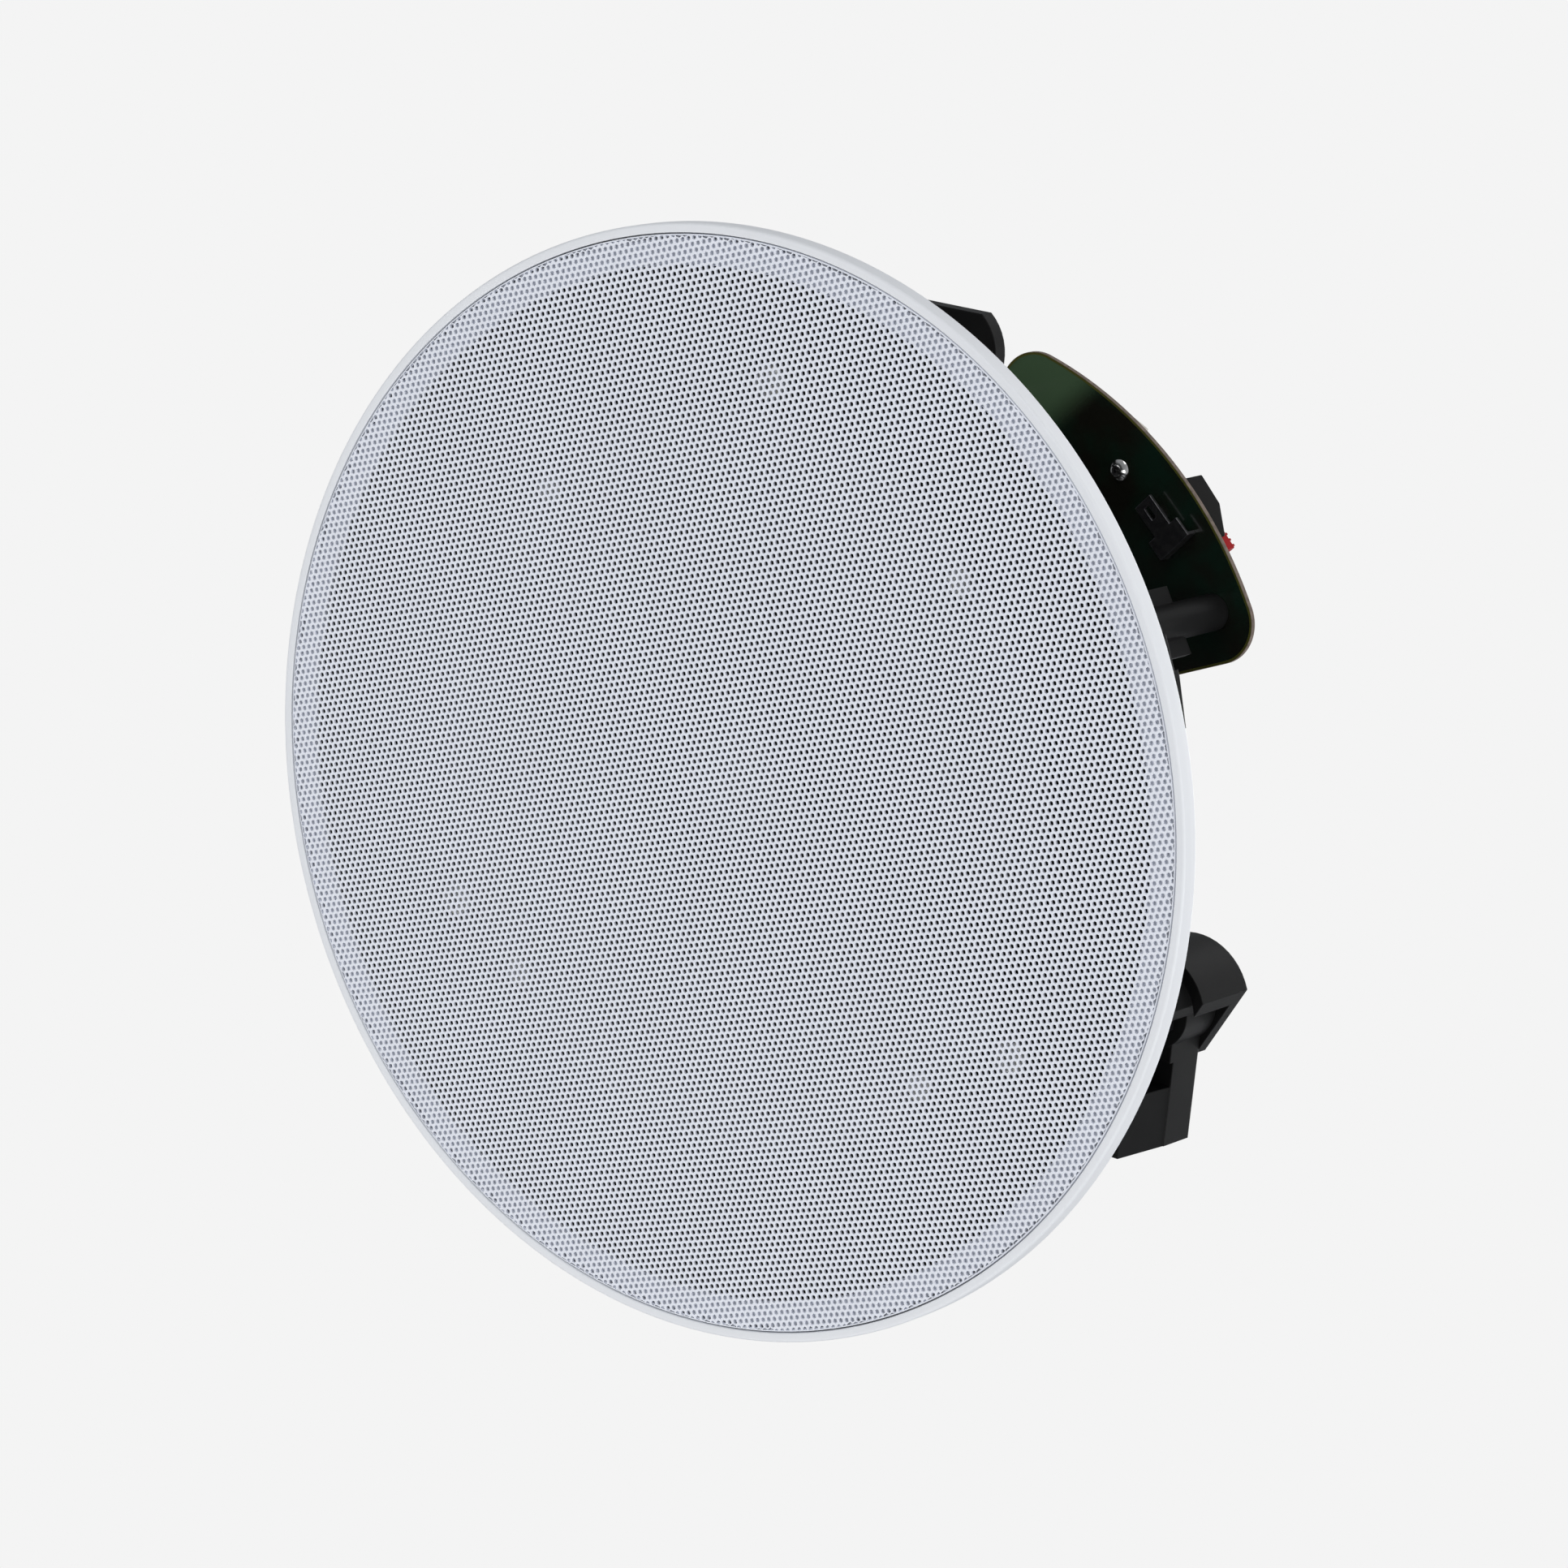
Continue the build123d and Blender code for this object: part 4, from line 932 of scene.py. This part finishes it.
@dataclass
class Cone:
    """Pulp cone with shallow stiffening rings, and its dust cap."""

    rings: int = 4
    ring_height: float = 0.22 * MM
    paper: float = 1.0 * MM
    steps: int = 40
    cap_wall: float = 0.8 * MM
    cap_steps: int = 10
    cap_facets: int = 96

    def build(self) -> None:
        """Turns cone and cap; both ride on the moving cone."""
        low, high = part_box("woofer_cone")
        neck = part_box("voice_coil_former")[1].x
        edge, rear = high.x, high.z - self.paper
        front = []
        for step in range(self.steps + 1):
            share = step / self.steps
            ring = max(0.0, math.sin(math.tau * self.rings * share))
            ripple = self.ring_height * ring * math.sin(math.pi * share)
            front.append((edge + (neck - edge) * share, low.z + (rear - low.z) * share + ripple))
        outline = front + [(radius, height + self.paper) for radius, height in reversed(front)]
        Bench.dress(Bench.lathe("pulp_cone", outline), "cone", "cone_fibre", "woofer_cone")
        low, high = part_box("dust_cap")
        rise, wall = high.z - low.z, self.cap_wall
        angles = [math.pi / 2 * step / self.cap_steps for step in range(self.cap_steps + 1)]
        dome = [(neck * math.sin(a), high.z - rise * math.cos(a)) for a in angles]
        inside = [((neck - wall) * math.sin(a), high.z - (rise - wall) * math.cos(a)) for a in angles]
        cap = Bench.lathe("cap_dome", dome + inside[::-1], self.cap_facets)
        Bench.dress(cap, "cone", "cone_fibre", "dust_cap")


@dataclass
class Screws:
    """Clamp screws with a rolled thread, and the board's pan-head screws."""

    lead: float = 2.5 * MM
    crest: float = 2.5 * MM
    root: float = 2.0 * MM
    core: float = 2.1 * MM
    core_facets: int = 32
    thread_steps: int = 20
    weld: float = 1e-6
    head_height: float = 3.2 * MM
    head_facets: int = 48
    crown_steps: int = 6
    # flat and rounded shares of a head's radius, straight and domed shares of its height
    crown: Point = (0.55, 0.45)
    wall: Point = (0.35, 0.65)
    # length and width of the cross recess, its longest share of the radius and its depth by the head's height
    recess: Point = (4.2 * MM, 0.9 * MM)
    recess_share: float = 1.2
    recess_depth: float = 1.1
    pan_radius: float = 3.0 * MM
    # radius in mm and angle of the board's posts
    posts: tuple[Point, ...] = ((81.4, -18.1), (76.5, -66.0))

    def pan_head(self, name: str, radius: float, seat: float, top: float) -> Piece:
        """A domed head with a cross recess.

        Args:
            name: the piece's name.
            radius: the head's radius.
            seat: height of the face that it sits on.
            top: height of its crown.

        Returns:
            The head on the axis.
        """
        rise = top - seat
        (flat, curved), (straight, domed) = self.crown, self.wall
        outline = [(0.0, seat), (radius, seat), (radius, seat + straight * rise)]
        for step in range(1, self.crown_steps + 1):
            angle = math.pi / 2 * step / self.crown_steps
            height = seat + rise * (straight + domed * math.sin(angle))
            outline.append((radius * (flat + curved * math.cos(angle)), height))
        head = Bench.lathe(name, [*outline, (0.0, top)], self.head_facets)
        length, width = self.recess
        for turn in (0.0, math.pi / 2):
            Bench.clear()
            bpy.ops.mesh.primitive_cube_add(size=1, location=(0, 0, top), rotation=(0, 0, turn))
            blade = bpy.context.object
            blade.scale = (min(length, self.recess_share * radius), width, self.recess_depth * abs(rise))
            Bench.modify(head, "BOOLEAN", operation="DIFFERENCE", object=blade)
            bpy.data.objects.remove(blade)
        bpy.ops.object.shade_smooth_by_angle(angle=HEAD_CREASE)
        return head

    def thread(self, name: str, start: float, end: float) -> Piece:
        """A helical rib on the axis, swept by a Screw modifier, on its core rod.

        Args:
            name: the piece's name.
            start: height of the first turn.
            end: height of the last turn.

        Returns:
            Core and rib in one piece.
        """
        outline = [(0.0, start), (self.core, start), (self.core, end), (0.0, end)]
        core = Bench.lathe(name, outline, self.core_facets)
        Bench.clear()
        # a three-sided circle is one and a half radii high
        size = (self.crest - self.root) / 1.5
        bpy.ops.mesh.primitive_circle_add(vertices=3, radius=size, rotation=(math.pi / 2, 0, 0))
        rib = bpy.context.object
        bpy.ops.object.transform_apply(rotation=True)
        Bench.edit_all()
        bpy.ops.transform.rotate(value=math.pi / 2, orient_axis="Y", center_override=(0, 0, 0))
        bpy.ops.object.mode_set(mode="OBJECT")
        reach = max(abs(v.co.x) for v in rib.data.vertices)
        side = 1 if max(v.co.x for v in rib.data.vertices) == reach else -1
        rib.data.transform(Matrix.Diagonal((side, 1, 2.0, 1)))
        rib.data.transform(Matrix.Translation((self.crest - reach, 0, start + self.lead / 2)))
        turns, steps = int((end - start - self.lead) / self.lead), self.thread_steps
        Bench.modify(rib, "SCREW", screw_offset=self.lead, iterations=turns, steps=steps, render_steps=steps)
        Bench.edit_all()
        bpy.ops.mesh.remove_doubles(threshold=self.weld)
        bpy.ops.mesh.select_all(action="DESELECT")
        bpy.ops.mesh.select_non_manifold()
        bpy.ops.mesh.fill()
        Bench.face_out()
        rib.select_set(True)
        core.select_set(True)
        bpy.context.view_layer.objects.active = core
        bpy.ops.object.join()
        return core

    def build(self) -> None:
        """Makes one clamp screw and one board screw, and copies each to its places."""
        low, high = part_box("clamp_screw_1")
        seat = low.z + self.head_height
        rod = self.thread("rolled_screw", seat, high.z)
        head = self.pan_head("clamp_head", (high.x - low.x) / 2, seat, low.z)
        Bench.take(rod)
        head.select_set(True)
        bpy.ops.object.join()
        for number in (1, 2, 3):
            low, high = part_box(f"clamp_screw_{number}")
            middle = (low + high) / 2
            copy = Bench.copy_of(rod, f"threaded_screw_{number}")
            copy.data.transform(Matrix.Translation((middle.x, middle.y, 0)))
            Bench.dress(copy, f"clamp_screw_{number}", "zinc_steel", f"clamp_screw_{number}")
        bpy.data.objects.remove(rod)
        self.board_screws()

    def board_screws(self) -> None:
        """Puts a pan head on each of the board's posts."""
        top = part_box("board_screws")[1].z
        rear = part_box("crossover_board")[1].z
        for number, (radius, degrees) in enumerate(self.posts, 1):
            head = self.pan_head(f"board_screw_{number}", self.pan_radius, rear, top)
            head.data.transform(across(radius * MM, degrees))
            Bench.dress(head, "housing", "zinc_steel", *(["board_screws"] if number == 1 else []))


@dataclass
class BoardParts:
    """What is soldered on the board: domed joints and the wound coil."""

    turns: int = 10
    facets: int = 6
    coil_facets: int = 72
    core: float = 5.0 * MM
    # flattens each turn of wire a little, so that neighbours don't meet in one line
    wire_share: float = 0.98
    # radius in mm and share of the height up a solder joint, from the pin's end to the board
    meniscus: tuple[Point, ...] = ((0.9, 0.0), (1.25, 0.12), (1.35, 0.4), (1.6, 0.72))
    joint_foot: float = 2.2 * MM
    joint_facets: int = 40
    # radius in mm and angle of the soldered pins
    pins: tuple[Point, ...] = ((79.8, -44.0), (64.0, -43.8))

    def joints(self) -> None:
        """Solder that has drawn up round each pin, with the pin's blunt end."""
        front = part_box("crossover_board")[0].z
        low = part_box("solder_studs")[0].z
        rise = front - low
        outline = [(0.0, low), *((radius * MM, low + share * rise) for radius, share in self.meniscus)]
        outline += [(self.joint_foot, front), (0.0, front)]
        for number, (radius, degrees) in enumerate(self.pins, 1):
            joint = Bench.lathe(f"solder_joint_{number}", outline, self.joint_facets)
            joint.data.transform(across(radius * MM, degrees))
            Bench.dress(joint, "housing", "solder", *(["solder_studs"] if number == 1 else []))

    def coil(self) -> None:
        """Turns of round wire, one over the other along the bobbin."""
        low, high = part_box("inductor_winding")
        middle = (low + high) / 2
        outer, inner = (high.x - low.x) / 2, self.core
        wire = (high.z - low.z) / self.turns / 2
        outline = [(inner, low.z)]
        for turn in range(self.turns):
            centre = low.z + (2 * turn + 1) * wire
            for step in range(self.facets + 1):
                angle = math.pi * (step / self.facets - 0.5)
                height = centre + wire * math.sin(angle) * self.wire_share
                outline.append((outer - wire + wire * math.cos(angle), height))
        outline.append((inner, high.z))
        coil = Bench.lathe("wound_coil", outline, self.coil_facets)
        coil.data.transform(Matrix.Translation((middle.x, middle.y, 0)))
        Bench.dress(coil, "housing", "copper_wire", "inductor_winding")

    def build(self) -> None:
        """Makes the joints and the coil."""
        self.joints()
        self.coil()


@dataclass
class Studio:
    """Camera at the photograph's angle, pale floor, soft light."""

    place: Triple = (0.7913, -0.1581, -1.0016)
    right: Triple = (0.7944, 0.09447, 0.6)
    up: Triple = (0.0, -0.98783, 0.155536)
    forward: Triple = (-0.607392, 0.123558, 0.784734)
    lens: float = 143.48
    sensor: float = 36.0
    sight: float = 200.0
    backdrop: str = "#F4F4F4"
    sky: str = "#F2F5FA"
    sky_strength: float = 0.4
    floor_drop: float = 2.4
    floor_size: float = 60.0
    # name, place, width and watts of each soft lamp; all look at the origin
    lamps: tuple[tuple[str, Triple, float, float], ...] = (
        ("key", (0.2, -1.3, -1.5), 1.2, 11.5),
        ("fill", (-1.0, 1.2, -1.2), 1.4, 12.5),
        ("side", (1.55, 0.6, -0.15), 1.0, 14.0),
        ("top", (0.9, -1.2, 1.2), 1.2, 6.0),
        ("rear", (-0.1, 0.1, 1.95), 1.4, 22.0),
    )

    def shoot(self) -> None:
        """Adds the camera."""
        data = bpy.data.cameras.new("photo_camera")
        data.lens = self.lens
        data.sensor_width = self.sensor
        data.clip_end = self.sight
        camera = bpy.data.objects.new("photo_camera", data)
        bpy.context.scene.collection.objects.link(camera)
        axes = Matrix((self.right, self.up, [-c for c in self.forward])).transposed().to_4x4()
        camera.matrix_world = Matrix.Translation(self.place) @ axes
        bpy.context.scene.camera = camera

    def pale(self, tree: Tree, lit: Socket, output: str) -> None:
        """Shows the plain backdrop to the camera, also through clear pieces, and the lit surface to the rest.

        Args:
            tree: the tree of the floor or the world.
            lit: shader that other rays meet.
            output: type name of the output node.
        """
        rays = add_node(tree, "ShaderNodeLightPath").outputs
        straight = {0: rays["Is Camera Ray"], 1: rays["Is Transmission Ray"]}
        seen = add_node(tree, "ShaderNodeMath", straight, operation="MAXIMUM")
        plain = add_node(
            tree,
            "ShaderNodeBackground" if output.endswith("World") else "ShaderNodeEmission",
            {"Color": linear(self.backdrop), "Strength": 1.0},
        )
        mix = add_node(tree, "ShaderNodeMixShader", {0: seen.outputs[0], 1: lit, 2: plain.outputs[0]})
        add_node(tree, output, {"Surface": mix.outputs[0]})

    def light(self) -> None:
        """Adds the world, the floor and the soft lights."""
        world = bpy.data.worlds.new("pale_room")
        bpy.context.scene.world = world
        world.use_nodes = True
        world.node_tree.nodes.clear()
        sky = {"Color": linear(self.sky), "Strength": self.sky_strength}
        glow = add_node(world.node_tree, "ShaderNodeBackground", sky)
        self.pale(world.node_tree, glow.outputs[0], "ShaderNodeOutputWorld")
        Bench.clear()
        bpy.ops.mesh.primitive_plane_add(size=self.floor_size, location=(0, 0, -self.floor_drop))
        floor = bpy.context.object
        bpy.ops.object.transform_apply(location=True)
        floor.name = "floor"
        material = bpy.data.materials.new("pale_floor")
        material.use_nodes = True
        material.node_tree.nodes.clear()
        matt = add_node(material.node_tree, "ShaderNodeBsdfDiffuse", {"Color": linear(self.backdrop)})
        self.pale(material.node_tree, matt.outputs[0], "ShaderNodeOutputMaterial")
        floor.data.materials.append(material)
        for name, place, size, watts in self.lamps:
            data = bpy.data.lights.new(name, "AREA")
            data.size = size
            data.energy = watts
            lamp = bpy.data.objects.new(name, data)
            bpy.context.scene.collection.objects.link(lamp)
            lamp.location = place
            lamp.rotation_euler = (-Vector(place)).to_track_quat("-Z", "Y").to_euler()

    def build(self) -> None:
        """Sets the stage."""
        self.shoot()
        self.light()
        bpy.context.scene.view_settings.view_transform = "Standard"


def dress_solids() -> None:
    """Gives every solid the finish of its slot, also those that a piece replaces."""
    for row in frame["record"]["subparts"]:
        node = frame["nodes"][row["node"]]
        node.data.materials.clear()
        node.data.materials.append(SLOT_FINISH[row["material_slot"]].build())


def main() -> None:
    """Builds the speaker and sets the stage."""
    logging.basicConfig(level=logging.INFO, format="%(name)s: %(message)s")
    dress_solids()
    outside = (Grille(), TrimRing(), SkirtTongue(), Mouldings(), Board())
    inside = (Suspension(), Cone(), Screws(), BoardParts())
    for part in outside + inside:
        part.build()
    Studio().build()


if __name__ == "__main__":
    main()
